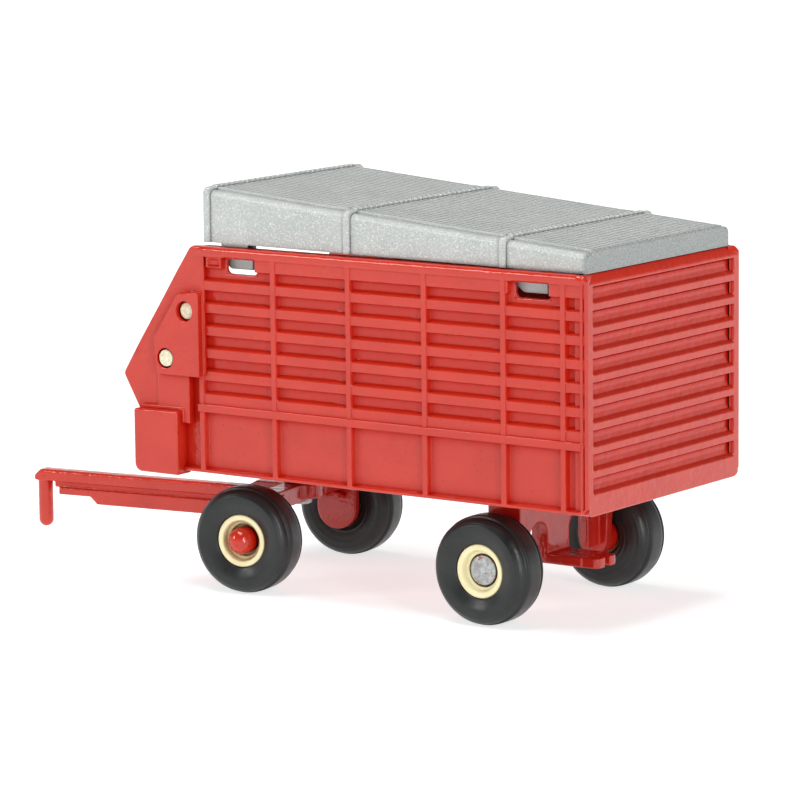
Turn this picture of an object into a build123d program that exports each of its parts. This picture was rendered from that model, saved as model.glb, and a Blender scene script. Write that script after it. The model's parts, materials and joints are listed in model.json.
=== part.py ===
from build123d import *
import math
import os

# A small die-cast forage wagon.  Millimetres, +X forward, +Y left, +Z up, ground at z = 0.
# Lengths along the wagon are counted from the outer face of the rear wall.  The finished parts
# are moved back by half the overall length, so the origin is under the middle of the wagon.

OVERALL_LENGTH = 103.3

# Box
WALL_OUT = 19.05
WALL_SHEET = 18.18
WALL_IN = 16.9
SLAT_OUT = 18.9
RAIL_OUT = 19.25
BOX_FRONT = 62.6
WALL_BOTTOM = 16.75
WALL_TOP = 47.95
TOP_RAIL_BOTTOM = 46.5
BELT_BOTTOM = 25.1
BELT_TOP = 26.36
BELT_FRONT = 63.7
LIP_TOP = 17.3
POST_WIDTH = 1.0
POST_REAR_EDGES = (62.15, 49.80, 37.33, 25.02, 12.49, 3.20)
CORNER_WIDTH = 1.17
SLAT_PITCH = 3.114
SLAT_HEIGHT = 1.55
SLAT_COUNT = 6
LOWEST_SLAT_BOTTOM = 26.36
TOP_SLAT_BOTTOM = 44.9
WINDOW_BOTTOM = 44.4
WINDOW_SPANS = ((53.45, 58.65), (5.95, 11.55))
WINDOW_SHEET = 0.55
WINDOW_MARGIN = 0.8

# Rear wall
REAR_THICK = 2.1
REAR_HALF = 17.6
REAR_BOTTOM = 16.5
REAR_EDGE_TOP = 46.85
GROOVE_HALF = 17.45
GROOVE_TOP = 46.45
GROOVE_COUNT = 9
GROOVE_HEIGHT = 2.26
GROOVE_FLAT = 0.92
GROOVE_DEPTH = 0.75

# Front wings, covers and housings
WING_IN = 17.45
WING_POINTS = ((62.6, 47.9), (64.3, 47.9), (76.35, 29.6), (73.7, 25.0), (73.0, 16.75), (62.6, 16.75))
WING_RADII = (0.05, 1.2, 0.9, 0.3, 0.3, 0.05)
COVER_OUT = 20.05
COVER_POINTS = ((62.3, 30.05), (62.3, 41.75), (65.9, 41.35), (70.1, 35.0), (69.6, 30.05))
COVER_RADII = (0.3, 0.5, 0.5, 0.4, 0.4)
LOWER_PLATE_OUT = 19.35
LOWER_PLATE = (64.6, 70.1, 23.35, 30.05)
HOUSING_OUT = 20.4
HOUSING = (66.0, 73.6, 16.2, 25.1)
SHOULDER = 0.55
SHOULDER_SETBACK = 0.6
HOUSING_CORNER = 1.2
HOUSING_NECK_SETBACK = 0.2
TROUGH_WALL = 1.2
TROUGH_SETBACK = 0.9
TROUGH_FRONT_TOP = 24.6

# Floor
FLOOR_BOTTOM = 18.0
FLOOR_TOP = 19.3
FLOOR_SLAT_PITCH = 6.0
FLOOR_SLAT_HALF_WIDTH = 0.4
FLOOR_SLAT_HEIGHT = 0.4
FLOOR_SLAT_REACH = 15.5

# Beaters
BEATER_CENTRES = ((64.7, 39.0), (68.1, 32.3))
BEATER_ENDS = (19.45, 19.95)
SHAFT_END_RADIUS = 1.175
SHAFT_BORE_RADIUS = 1.225
COVER_HOLE_RADIUS = 1.4
BEATER_CORE_RADIUS = 1.6
BEATER_TIP_RADIUS = 3.25
BEATER_HALF = 17.15
TOOTH_ROWS = 6
TOOTH_COUNT = 7
TOOTH_LENGTH = 0.8
TOOTH_WIDTH = 0.9
TOOTH_SINK = 0.4
TOOTH_MARGIN = 1.2

# Roof
ROOF_HALF = 17.75
ROOF_REAR = 0.9
ROOF_FRONT = 62.75
ROOF_SKIRT = 48.0
ROOF_SKIRT_RISE = 0.48
ROOF_WALL = 0.95
ROOF_EDGE_RADIUS = 0.6
ROOF_TOP_REAR = 50.6
ROOF_TOP_FRONT = 55.8
BOW_PROUD = 0.43
BOW_SPANS = ((61.55, 62.75), (38.1, 39.3), (13.1, 14.3))
TAB_SPANS = ((55.2, 60.1), (7.4, 12.3))
TAB_OUT = 16.79
TAB_THICK = 0.9
TAB_BOTTOM = 44.9
TAB_TOP = 50.0
TAB_CHAMFER = (1.2, 0.8)

# Wheels, in a local frame: wheel centre at the origin, axis along Y, +Y outboard
TYRE_RADIUS = 7.4
TYRE_HALF = 3.09
CROWN_DROP = 1.16
CROWN_POWER = 3.9
TREAD_GROOVE_AT = 1.75
TREAD_GROOVE_HALF = 0.32
TREAD_GROOVE_DEPTH = 0.35
RIM_RADIUS = 3.67
RIM_LIP = 2.34
DISH_FLOOR = 1.39
DISH_HOLE_RADIUS = 2.25
DISH_WALL_RADIUS = 2.8
HUB_SHELF = 0.34
RIM_INNER_END = -1.5
TYRE_BORE_RADIUS = 2.5
TYRE_BORE_END = -2.1
STUB_RADIUS = 1.45
BORE_RADIUS = 1.5
TRACK_HALF = 15.06
AXLE_HEIGHT = 7.4
BOSS_RADIUS = 2.28
BOSS_END = 13.3
HEAD_INNER = 15.5
PEENED_RADIUS = 2.06
PEENED_END = 16.57
DOME_RADIUS = 1.86
DOME_CENTRE = 17.2

# Rear axle casting
REAR_AXLE_X = 18.04
REAR_WALL_X = 16.9
REAR_WEB_THICK = 1.15
PEDESTAL_HALF = 2.7
PEDESTAL_FRONT = 19.6
ARCH_CENTRE = 4.9
ARCH_HALF = 2.2
ARCH_TOP = 12.1
WEB_BOTTOM = 6.6
REAR_HANGER_IN = 10.0
REAR_HANGER_OUT = 11.5
REAR_HANGER_HALF = 2.7
FOOT = (9.1, 19.6, 6.1, 7.5)
FOOT_HALF = 2.5
PRONG_GAP = 1.1
PRONG_DEPTH = 2.6
PRONG_RADIUS = 0.85
REAR_POCKET = ((-2.0, 17.5), (2.0, 17.5), (0.0, 11.2))
POCKET_DEPTH = 0.6

# Front axle casting and drawbar, in the steered frame: origin under the kingpin, +X along the drawbar
KINGPIN_X = 60.15
STEER_ANGLE = 8.1
BEAM_BOTTOM = 10.4
BEAM_TOP = 12.9
BEAM_HALF = 1.5
FRONT_HANGER_IN = 10.3
FRONT_HANGER_OUT = 11.6
FRONT_HANGER_RADIUS = 3.1
FRONT_POCKET = ((-1.9, 10.2), (1.9, 10.2), (0.0, 5.6))
HUB_PLATE_RADIUS = 3.2
HUB_PLATE_FRONT = 6.2
HUB_PLATE_BOTTOM = 10.8
HUB_POCKET_RADIUS = 1.9
HUB_PLATE_HALF = 2.2
WEB_REAR = 2.6
KINGPIN_RADIUS = 1.2
KINGPIN_BORE = 1.25
RIVET_RADIUS = 1.55
RIVET_BOTTOM = 9.8
RIVET_GAP = 0.05
RIVET_EDGE_RADIUS = 0.4
KINGPIN_TOP = 14.5
BOSS_BOTTOM = 13.0
KINGPIN_BOSS_RADIUS = 2.4
BAR_TOP = 11.8
BAR_FLANGE_BOTTOM = 10.2
BAR_WEB_TOP = 9.3
BAR_SHALLOW_BOTTOM = 8.3
BAR_DEEP_BOTTOM = 7.25
BAR_HALF = 1.18
BAR_NECK_HALF = 0.75
BAR_WEB_HALF = 1.05
BAR_RAMP_END = 8.3
BAR_STEP = 33.0
BAR_STEP_RUN = 1.1
BAR_WEB_END = 39.4
BAR_FRONT = 43.4
BAR_NOSE = 0.9
BAR_EDGE_RADIUS = 0.45
PEG_AT = 42.22
PEG_RADIUS = 1.06
PEG_CLEAR = 2.0
PEG_TIP = 3.3


def save(name, shape):
    """Write one node, with the origin moved to the middle of the wagon's length."""
    placed = Pos(-OVERALL_LENGTH / 2, 0, 0) * shape
    export_step(placed, "parts/" + name + ".step")


def block(x0, x1, y0, y1, z0, z1):
    """A box between two corners."""
    middle = Pos((x0 + x1) / 2, (y0 + y1) / 2, (z0 + z1) / 2)
    return middle * Box(x1 - x0, y1 - y0, z1 - z0)


def side_plate(points, y0, y1, radii=None):
    """An outline in the X-Z plane, with or without rounded corners, extruded from y0 to y1."""
    corners = [(x, y0, z) for x, z in points]
    if radii is None:
        outline = Polyline(*corners, close=True)
    else:
        outline = FilletPolyline(*corners, radius=radii, close=True)
    return extrude(make_face(outline), amount=y1 - y0, dir=(0, 1, 0))


def rod_y(x, z, radius, y0, y1):
    """A round rod along Y."""
    return Pos(x, (y0 + y1) / 2, z) * Rot(90, 0, 0) * Cylinder(radius, y1 - y0)


def rod_z(x, y, radius, z0, z1):
    """A round rod along Z."""
    return Pos(x, y, (z0 + z1) / 2) * Cylinder(radius, z1 - z0)


def turned_y(points):
    """A solid of revolution about Y from (axial, radius) points."""
    corners = [(radius, axial) for axial, radius in points]
    return revolve(make_face(Polyline(*corners, close=True)), axis=Axis.Y)


def solid_of(shape):
    """The one solid that a union or cut leaves."""
    return shape.solids()[0] if len(shape.solids()) == 1 else shape


def mirrored(shape):
    """The same piece for the right-hand side."""
    return mirror(shape, about=Plane.XZ)


def side_wall():
    """Left side wall: sheet, posts, slats, rails, windows and the front wing."""
    wall = block(REAR_THICK, BOX_FRONT, WALL_IN, WALL_SHEET, WALL_BOTTOM, WALL_TOP)
    wall += block(0, REAR_THICK, REAR_HALF, WALL_SHEET, WALL_BOTTOM, WALL_TOP)
    wall += block(0, CORNER_WIDTH, REAR_HALF, WALL_OUT, WALL_BOTTOM, WALL_TOP)
    wall += block(0, BOX_FRONT, WALL_SHEET, WALL_OUT, WALL_BOTTOM, LIP_TOP)
    wall += side_plate(WING_POINTS, WING_IN, WALL_SHEET, WING_RADII)
    raised_wing = side_plate(WING_POINTS, WALL_SHEET, WALL_OUT, WING_RADII)
    low_corner = block(BOX_FRONT, LOWER_PLATE[0], WALL_SHEET, WALL_OUT, WALL_BOTTOM, LOWER_PLATE[3])
    low_band = block(BOX_FRONT, HOUSING[0], WALL_SHEET, WALL_OUT, WALL_BOTTOM, LOWER_PLATE[2])
    wall += raised_wing - low_corner - low_band
    for rear_edge in POST_REAR_EDGES:
        front_edge = rear_edge + POST_WIDTH
        wall += block(rear_edge, front_edge, WALL_SHEET, WALL_OUT, WALL_BOTTOM, WALL_TOP)
    for index in range(SLAT_COUNT):
        bottom = LOWEST_SLAT_BOTTOM + index * SLAT_PITCH
        wall += block(CORNER_WIDTH, BOX_FRONT, WALL_SHEET, SLAT_OUT, bottom, bottom + SLAT_HEIGHT)
    wall += block(CORNER_WIDTH, BOX_FRONT, WALL_SHEET, SLAT_OUT, TOP_SLAT_BOTTOM, TOP_RAIL_BOTTOM)
    wall += block(0.5, BELT_FRONT, WALL_SHEET, RAIL_OUT, BELT_BOTTOM, BELT_TOP)
    wall += block(0, BOX_FRONT, WALL_SHEET, RAIL_OUT, TOP_RAIL_BOTTOM, WALL_TOP)
    for rear_edge, front_edge in WINDOW_SPANS:
        wall -= block(rear_edge, front_edge, WALL_IN, RAIL_OUT, WINDOW_BOTTOM, TOP_RAIL_BOTTOM)
        thin_x0 = rear_edge - WINDOW_MARGIN
        thin_x1 = front_edge + WINDOW_MARGIN
        thin_z0 = WINDOW_BOTTOM - WINDOW_MARGIN
        thin_y1 = WALL_SHEET - WINDOW_SHEET
        wall -= block(thin_x0, thin_x1, WALL_IN, thin_y1, thin_z0, TOP_RAIL_BOTTOM)
    for x, z in BEATER_CENTRES:
        wall -= rod_y(x, z, SHAFT_BORE_RADIUS, WALL_IN, RAIL_OUT)
    return solid_of(wall)


def rear_wall():
    """Rear wall with sloped grooves, undercut along the top and bevelled out along the bottom."""
    outline = [
        (0, REAR_BOTTOM),
        (REAR_THICK, REAR_BOTTOM),
        (REAR_THICK, WALL_TOP),
        (1.0, WALL_TOP),
        (0, REAR_EDGE_TOP),
    ]
    wall = side_plate(outline, -REAR_HALF, REAR_HALF)
    for index in range(GROOVE_COUNT):
        top = GROOVE_TOP - index * SLAT_PITCH
        groove = [
            (0, top),
            (GROOVE_DEPTH, top),
            (GROOVE_DEPTH, top - GROOVE_FLAT),
            (0, top - GROOVE_HEIGHT),
        ]
        wall -= side_plate(groove, -GROOVE_HALF, GROOVE_HALF)
    return solid_of(wall)


def box_floor():
    """Floor plate with low cross slats and the boss that holds the kingpin."""
    floor = block(REAR_THICK, BOX_FRONT, -WALL_IN, WALL_IN, FLOOR_BOTTOM, FLOOR_TOP)
    slat_count = int((BOX_FRONT - REAR_THICK) / FLOOR_SLAT_PITCH)
    for index in range(slat_count):
        x0 = REAR_THICK + (index + 0.5) * FLOOR_SLAT_PITCH - FLOOR_SLAT_HALF_WIDTH
        x1 = x0 + 2 * FLOOR_SLAT_HALF_WIDTH
        slat_top = FLOOR_TOP + FLOOR_SLAT_HEIGHT
        floor += block(x0, x1, -FLOOR_SLAT_REACH, FLOOR_SLAT_REACH, FLOOR_TOP, slat_top)
    floor += rod_z(KINGPIN_X, 0, KINGPIN_BOSS_RADIUS, BOSS_BOTTOM, FLOOR_BOTTOM)
    floor -= rod_z(KINGPIN_X, 0, KINGPIN_RADIUS, BOSS_BOTTOM, KINGPIN_TOP)
    return solid_of(floor)


def drive_cover():
    """Left drive cover, with a hole for each beater shaft end."""
    cover = side_plate(COVER_POINTS, WALL_OUT, COVER_OUT, COVER_RADII)
    for x, z in BEATER_CENTRES:
        cover -= rod_y(x, z, COVER_HOLE_RADIUS, WALL_OUT, COVER_OUT)
    return solid_of(cover)


def conveyor_housing():
    """Left end housing of the cross conveyor, its shoulder flange and the plate above it."""
    x0, x1, z0, z1 = HOUSING
    housing = block(x0, x1, WALL_OUT, HOUSING_OUT, z0, z1)
    front_corner = housing.edges().filter_by(Axis.Y).sort_by(Axis.Z)[:2].sort_by(Axis.X)[-1:]
    housing = fillet(front_corner, radius=HOUSING_CORNER)
    neck_front = x1 - HOUSING_NECK_SETBACK
    neck_top = z1 - HOUSING_NECK_SETBACK
    housing += block(x0, neck_front, WALL_SHEET, WALL_OUT, z0, neck_top) - side_wall()
    flange_front = x1 - SHOULDER_SETBACK
    flange_top = z1 + SHOULDER
    housing += block(x0 - SHOULDER, flange_front, WALL_OUT, LOWER_PLATE_OUT, LOWER_PLATE[2], flange_top)
    p0, p1, q0, q1 = LOWER_PLATE
    housing += block(p0, p1, WALL_OUT, LOWER_PLATE_OUT, q0, q1)
    return solid_of(housing)


def cross_conveyor_trough():
    """Open trough across the front, between the wings, under the beaters."""
    x1 = HOUSING[1] - TROUGH_SETBACK
    z0 = WALL_BOTTOM
    outline = [
        (BOX_FRONT, z0),
        (x1, z0),
        (x1, TROUGH_FRONT_TOP),
        (x1 - TROUGH_WALL, TROUGH_FRONT_TOP),
        (x1 - TROUGH_WALL, z0 + TROUGH_WALL),
        (BOX_FRONT + TROUGH_WALL, z0 + TROUGH_WALL),
        (BOX_FRONT + TROUGH_WALL, FLOOR_TOP),
        (BOX_FRONT, FLOOR_TOP),
    ]
    return side_plate(outline, -WING_IN, WING_IN)


def beater(x, z, end):
    """One beater: shaft with round ends, core and rows of teeth set round it."""
    shape = rod_y(x, z, SHAFT_END_RADIUS, -end, end)
    shape += rod_y(x, z, BEATER_CORE_RADIUS, -BEATER_HALF, BEATER_HALF)
    pitch = 2 * (BEATER_HALF - TOOTH_MARGIN) / (TOOTH_COUNT - 1)
    height = BEATER_TIP_RADIUS - BEATER_CORE_RADIUS + TOOTH_SINK
    tooth = Pos(0, 0, BEATER_TIP_RADIUS - height / 2) * Box(TOOTH_LENGTH, TOOTH_WIDTH, height)
    for row in range(TOOTH_ROWS):
        shift = pitch / 2 if row % 2 else 0
        turn = 360 / TOOTH_ROWS * row
        for index in range(TOOTH_COUNT - row % 2):
            y = -BEATER_HALF + TOOTH_MARGIN + shift + index * pitch
            shape += Pos(x, y, z) * Rot(0, turn, 0) * tooth
    return solid_of(shape)


def roof_top(x):
    """Height of the sloping top surface at x."""
    share = (x - ROOF_REAR) / (ROOF_FRONT - ROOF_REAR)
    return ROOF_TOP_REAR + share * (ROOF_TOP_FRONT - ROOF_TOP_REAR)


def roof_skirt(x):
    """Height of the roof's lower edge, which rises a little toward the front."""
    share = (x - ROOF_REAR) / (ROOF_FRONT - ROOF_REAR)
    return ROOF_SKIRT + share * ROOF_SKIRT_RISE


def roof_shell():
    """Hollow sloping roof with three bows that wrap over the sides and top."""
    outer = [
        (ROOF_REAR, roof_skirt(ROOF_REAR)),
        (ROOF_FRONT, roof_skirt(ROOF_FRONT)),
        (ROOF_FRONT, roof_top(ROOF_FRONT)),
        (ROOF_REAR, roof_top(ROOF_REAR)),
    ]
    shell = side_plate(outer, -ROOF_HALF, ROOF_HALF)
    top_edges = shell.edges().filter_by(lambda edge: abs(abs(edge.center().Y) - ROOF_HALF) < 0.01)
    top_edges = top_edges.filter_by(lambda edge: edge.center().Z > 52 and edge.length > 50)
    shell = fillet(top_edges, radius=ROOF_EDGE_RADIUS)
    for x0, x1 in BOW_SPANS:
        bow_outline = [
            (x0, roof_skirt(x0)),
            (x1, roof_skirt(x1)),
            (x1, roof_top(x1) + BOW_PROUD),
            (x0, roof_top(x0) + BOW_PROUD),
        ]
        bow = side_plate(bow_outline, -ROOF_HALF - BOW_PROUD, ROOF_HALF + BOW_PROUD)
        shell += bow
    inner_rear = ROOF_REAR + ROOF_WALL
    inner_front = ROOF_FRONT - ROOF_WALL
    inner = [
        (inner_rear, ROOF_SKIRT),
        (inner_front, ROOF_SKIRT),
        (inner_front, roof_top(inner_front) - ROOF_WALL),
        (inner_rear, roof_top(inner_rear) - ROOF_WALL),
    ]
    inner_half = ROOF_HALF - ROOF_WALL
    shell -= side_plate(inner, -inner_half, inner_half)
    return solid_of(shell)


def roof_snap_tabs():
    """Four tabs inside the walls, each with a chamfered lower front corner."""
    tabs = []
    for x0, x1 in TAB_SPANS:
        outline = [
            (x0, TAB_BOTTOM),
            (x1 - TAB_CHAMFER[0], TAB_BOTTOM),
            (x1, TAB_BOTTOM + TAB_CHAMFER[1]),
            (x1, TAB_TOP),
            (x0, TAB_TOP),
        ]
        tab = side_plate(outline, TAB_OUT - TAB_THICK, TAB_OUT)
        tabs.append(tab)
        tabs.append(mirrored(tab))
    return Compound(tabs)


def tread_radius(offset):
    """Radius of the tyre at a distance from its middle plane."""
    return TYRE_RADIUS - CROWN_DROP * abs(offset / TYRE_HALF) ** CROWN_POWER


def tyre():
    """Tyre with two round grooves and a closed inboard side, in the wheel's local frame."""
    half = [(RIM_LIP, RIM_RADIUS), (2.75, 4.1), (3.02, 4.9), (TYRE_HALF, 5.6)]
    for share in (1.0, 0.96, 0.9, 0.8):
        half.append((TYRE_HALF * share, tread_radius(TYRE_HALF * share)))
    for side in (1, -1):
        edge = TREAD_GROOVE_AT + side * TREAD_GROOVE_HALF
        floor = TREAD_GROOVE_AT + side * (TREAD_GROOVE_HALF - 0.08)
        pair = [(edge, tread_radius(edge)), (floor, tread_radius(floor) - TREAD_GROOVE_DEPTH)]
        half += pair if side == 1 else pair[::-1]
    inner_side = [(-axial, radius) for axial, radius in reversed(half[2:])]
    inner_side += [(-2.72, 3.6), (TYRE_BORE_END - 0.2, TYRE_BORE_RADIUS + 0.15)]
    inner_side += [(TYRE_BORE_END, TYRE_BORE_RADIUS)]
    inner_side += [(RIM_INNER_END, TYRE_BORE_RADIUS), (RIM_INNER_END, RIM_RADIUS)]
    return turned_y(half + [(0, TYRE_RADIUS)] + inner_side)


def rim():
    """Dished rim, in the wheel's local frame."""
    profile = [
        (RIM_LIP, RIM_RADIUS),
        (RIM_LIP, DISH_WALL_RADIUS),
        (DISH_FLOOR, DISH_WALL_RADIUS - 0.15),
        (DISH_FLOOR, DISH_HOLE_RADIUS),
        (HUB_SHELF, DISH_HOLE_RADIUS),
        (HUB_SHELF, BORE_RADIUS),
        (RIM_INNER_END, BORE_RADIUS),
        (RIM_INNER_END, RIM_RADIUS),
    ]
    return turned_y(profile)


def peened_end():
    """Rear axle end: stub and a flat peened head, on the left of the axle's middle."""
    profile = [
        (BOSS_END, 0),
        (BOSS_END, STUB_RADIUS),
        (HEAD_INNER, STUB_RADIUS),
        (HEAD_INNER, PEENED_RADIUS),
        (PEENED_END - 0.15, PEENED_RADIUS),
        (PEENED_END, PEENED_RADIUS - 0.2),
        (PEENED_END, 0),
    ]
    return turned_y(profile)


def domed_end():
    """Front axle end: stub and a domed head, on the left of the axle's middle."""
    arc = []
    for angle in range(0, 91, 10):
        turn = math.radians(angle)
        arc.append((DOME_CENTRE + DOME_RADIUS * math.sin(turn), DOME_RADIUS * math.cos(turn)))
    arc[-1] = (DOME_CENTRE + DOME_RADIUS, 0)
    profile = [(BOSS_END, 0), (BOSS_END, STUB_RADIUS), (HEAD_INNER, STUB_RADIUS)]
    return turned_y(profile + [(HEAD_INNER, DOME_RADIUS)] + arc)


def hanger_pocket(points, x, inner_face, side):
    """The V-shaped pocket in a hanger's inner face."""
    corners = [(x + px, pz) for px, pz in points]
    start = inner_face if side == 1 else -inner_face - POCKET_DEPTH
    return side_plate(corners, start, start + POCKET_DEPTH)


def rear_axle_casting():
    """Pedestal, web with two arches, hangers, bosses and the forked rear hitch."""
    web_front = REAR_WALL_X + REAR_WEB_THICK
    casting = block(REAR_WALL_X, web_front, -REAR_HANGER_IN, REAR_HANGER_IN, WEB_BOTTOM, FLOOR_BOTTOM)
    for side in (1, -1):
        centre = side * ARCH_CENTRE
        arch = block(REAR_WALL_X, web_front, centre - ARCH_HALF, centre + ARCH_HALF, 0, ARCH_TOP - ARCH_HALF)
        crown = Pos((REAR_WALL_X + web_front) / 2, centre, ARCH_TOP - ARCH_HALF) * Rot(0, 90, 0)
        arch += crown * Cylinder(ARCH_HALF, REAR_WEB_THICK)
        casting -= arch
    casting += block(REAR_WALL_X, PEDESTAL_FRONT, -PEDESTAL_HALF, PEDESTAL_HALF, FOOT[3], FLOOR_BOTTOM)
    foot = block(FOOT[0], FOOT[1], -FOOT_HALF, FOOT_HALF, FOOT[2], FOOT[3])
    foot -= block(FOOT[0], FOOT[0] + PRONG_DEPTH, -PRONG_GAP / 2, PRONG_GAP / 2, FOOT[2], FOOT[3])
    outer_corners = foot.edges().filter_by(Axis.Z).sort_by(Axis.X)[:4].sort_by(Axis.Y)
    foot = fillet([outer_corners[0], outer_corners[-1]], radius=PRONG_RADIUS)
    foot += block(FOOT[0] + PRONG_DEPTH, FOOT[1], -PEDESTAL_HALF, PEDESTAL_HALF, FOOT[2], FOOT[3])
    casting += foot
    for side in (1, -1):
        near = REAR_HANGER_IN if side == 1 else -REAR_HANGER_OUT
        far = near + REAR_HANGER_OUT - REAR_HANGER_IN
        taper = [
            (REAR_AXLE_X - REAR_HANGER_HALF, FLOOR_BOTTOM),
            (REAR_AXLE_X - BOSS_RADIUS, AXLE_HEIGHT),
            (REAR_AXLE_X + BOSS_RADIUS, AXLE_HEIGHT),
            (REAR_AXLE_X + REAR_HANGER_HALF, FLOOR_BOTTOM),
        ]
        casting += side_plate(taper, near, far)
        casting -= hanger_pocket(REAR_POCKET, REAR_AXLE_X, REAR_HANGER_IN, side)
        outer = BOSS_END if side == 1 else -BOSS_END
        casting += rod_y(REAR_AXLE_X, AXLE_HEIGHT, BOSS_RADIUS, min(near, outer), max(far, outer))
    return solid_of(casting)


def front_axle_casting():
    """Beam, hub plate and two U-shaped hangers, in the steered frame."""
    casting = block(-BEAM_HALF, BEAM_HALF, -FRONT_HANGER_OUT, FRONT_HANGER_OUT, BEAM_BOTTOM, BEAM_TOP)
    casting += rod_z(0, 0, HUB_PLATE_RADIUS, HUB_PLATE_BOTTOM, BEAM_TOP)
    casting += block(0, HUB_PLATE_FRONT, -HUB_PLATE_HALF, HUB_PLATE_HALF, HUB_PLATE_BOTTOM, BEAM_TOP)
    web = block(WEB_REAR, HUB_PLATE_FRONT, -BAR_WEB_HALF, BAR_WEB_HALF, BAR_DEEP_BOTTOM, HUB_PLATE_BOTTOM)
    casting += web
    casting -= rod_z(0, 0, HUB_POCKET_RADIUS, BEAM_BOTTOM - 1, HUB_PLATE_BOTTOM)
    casting -= rod_z(0, 0, KINGPIN_BORE, HUB_PLATE_BOTTOM, BEAM_TOP)
    for side in (1, -1):
        near = FRONT_HANGER_IN if side == 1 else -FRONT_HANGER_OUT
        far = near + FRONT_HANGER_OUT - FRONT_HANGER_IN
        casting += rod_y(0, AXLE_HEIGHT, FRONT_HANGER_RADIUS, near, far)
        casting += block(-FRONT_HANGER_RADIUS, FRONT_HANGER_RADIUS, near, far, AXLE_HEIGHT, BEAM_TOP)
        casting -= hanger_pocket(FRONT_POCKET, 0, FRONT_HANGER_IN, side)
        outer = BOSS_END if side == 1 else -BOSS_END
        casting += rod_y(0, AXLE_HEIGHT, BOSS_RADIUS, min(near, outer), max(far, outer))
    return solid_of(casting)


def drawbar():
    """Drawbar with a grooved section, a stepped web and the hitch peg, in the steered frame."""
    flange = [
        (HUB_PLATE_FRONT, BAR_FLANGE_BOTTOM),
        (BAR_FRONT, BAR_FLANGE_BOTTOM),
        (BAR_FRONT, BAR_TOP - BAR_NOSE),
        (BAR_FRONT - BAR_NOSE, BAR_TOP),
        (BAR_RAMP_END, BAR_TOP),
        (HUB_PLATE_FRONT, BEAM_TOP),
    ]
    bar = side_plate(flange, -BAR_HALF, BAR_HALF)
    bar = fillet(bar.edges().filter_by(Axis.X).sort_by(Axis.Z)[-2:], radius=BAR_EDGE_RADIUS)
    neck_front = PEG_AT - PEG_CLEAR
    bar += block(HUB_PLATE_FRONT, neck_front, -BAR_NECK_HALF, BAR_NECK_HALF, BAR_WEB_TOP, BAR_FLANGE_BOTTOM)
    web = [
        (HUB_PLATE_FRONT, BAR_WEB_TOP),
        (BAR_WEB_END, BAR_WEB_TOP),
        (BAR_WEB_END, BAR_SHALLOW_BOTTOM),
        (BAR_STEP + BAR_STEP_RUN, BAR_SHALLOW_BOTTOM),
        (BAR_STEP, BAR_DEEP_BOTTOM),
        (HUB_PLATE_FRONT, BAR_DEEP_BOTTOM),
    ]
    bar += side_plate(web, -BAR_WEB_HALF, BAR_WEB_HALF)
    shank_bottom = PEG_TIP + PEG_RADIUS
    bar += rod_z(PEG_AT, 0, PEG_RADIUS, shank_bottom, BAR_TOP - BAR_NOSE)
    bar += Pos(PEG_AT, 0, shank_bottom) * Sphere(PEG_RADIUS)
    return solid_of(bar)


def kingpin_rivet():
    """Kingpin with its rivet head under the hub plate."""
    head_top = HUB_PLATE_BOTTOM - RIVET_GAP
    pin = rod_z(KINGPIN_X, 0, KINGPIN_RADIUS, head_top, KINGPIN_TOP)
    head = rod_z(KINGPIN_X, 0, RIVET_RADIUS, RIVET_BOTTOM, head_top)
    head = fillet(head.edges().group_by(Axis.Z)[0], radius=RIVET_EDGE_RADIUS)
    return solid_of(pin + head)


os.makedirs("parts", exist_ok=True)

LEFT_WALL = side_wall()
LEFT_COVER = drive_cover()
LEFT_HOUSING = conveyor_housing()
save("left_side_wall", LEFT_WALL)
save("right_side_wall", mirrored(LEFT_WALL))
save("rear_wall", rear_wall())
save("box_floor", box_floor())
save("left_drive_cover", LEFT_COVER)
save("right_drive_cover", mirrored(LEFT_COVER))
save("left_conveyor_housing", LEFT_HOUSING)
save("right_conveyor_housing", mirrored(LEFT_HOUSING))
save("cross_conveyor_trough", cross_conveyor_trough())
save("upper_beater", beater(*BEATER_CENTRES[0], BEATER_ENDS[0]))
save("lower_beater", beater(*BEATER_CENTRES[1], BEATER_ENDS[1]))
save("roof_shell", roof_shell())
save("roof_snap_tabs", roof_snap_tabs())
save("rear_axle_casting", rear_axle_casting())
save("kingpin_rivet", kingpin_rivet())

STEERED = Pos(KINGPIN_X, 0, 0) * Rot(0, 0, STEER_ANGLE)
save("front_axle_casting", STEERED * front_axle_casting())
save("drawbar", STEERED * drawbar())

FACE_OUT = {"left": Rot(0, 0, 0), "right": Rot(0, 0, 180)}
AXLES = {"front": STEERED * Pos(0, 0, AXLE_HEIGHT), "rear": Pos(REAR_AXLE_X, 0, AXLE_HEIGHT)}
AXLE_ENDS = {"front": domed_end(), "rear": peened_end()}
RIM = rim()
TYRE = tyre()
for axle, axle_place in AXLES.items():
    for side, facing in FACE_OUT.items():
        corner = axle + "_" + side
        wheel_place = axle_place * facing * Pos(0, TRACK_HALF, 0)
        save(corner + "_axle_end", axle_place * facing * AXLE_ENDS[axle])
        save(corner + "_rim", wheel_place * RIM)
        save(corner + "_tyre", wheel_place * TYRE)
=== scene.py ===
import json
import math

import bmesh
import bpy
import numpy as np
from mathutils import Matrix, Vector, noise
from mathutils.geometry import delaunay_2d_cdt


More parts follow.
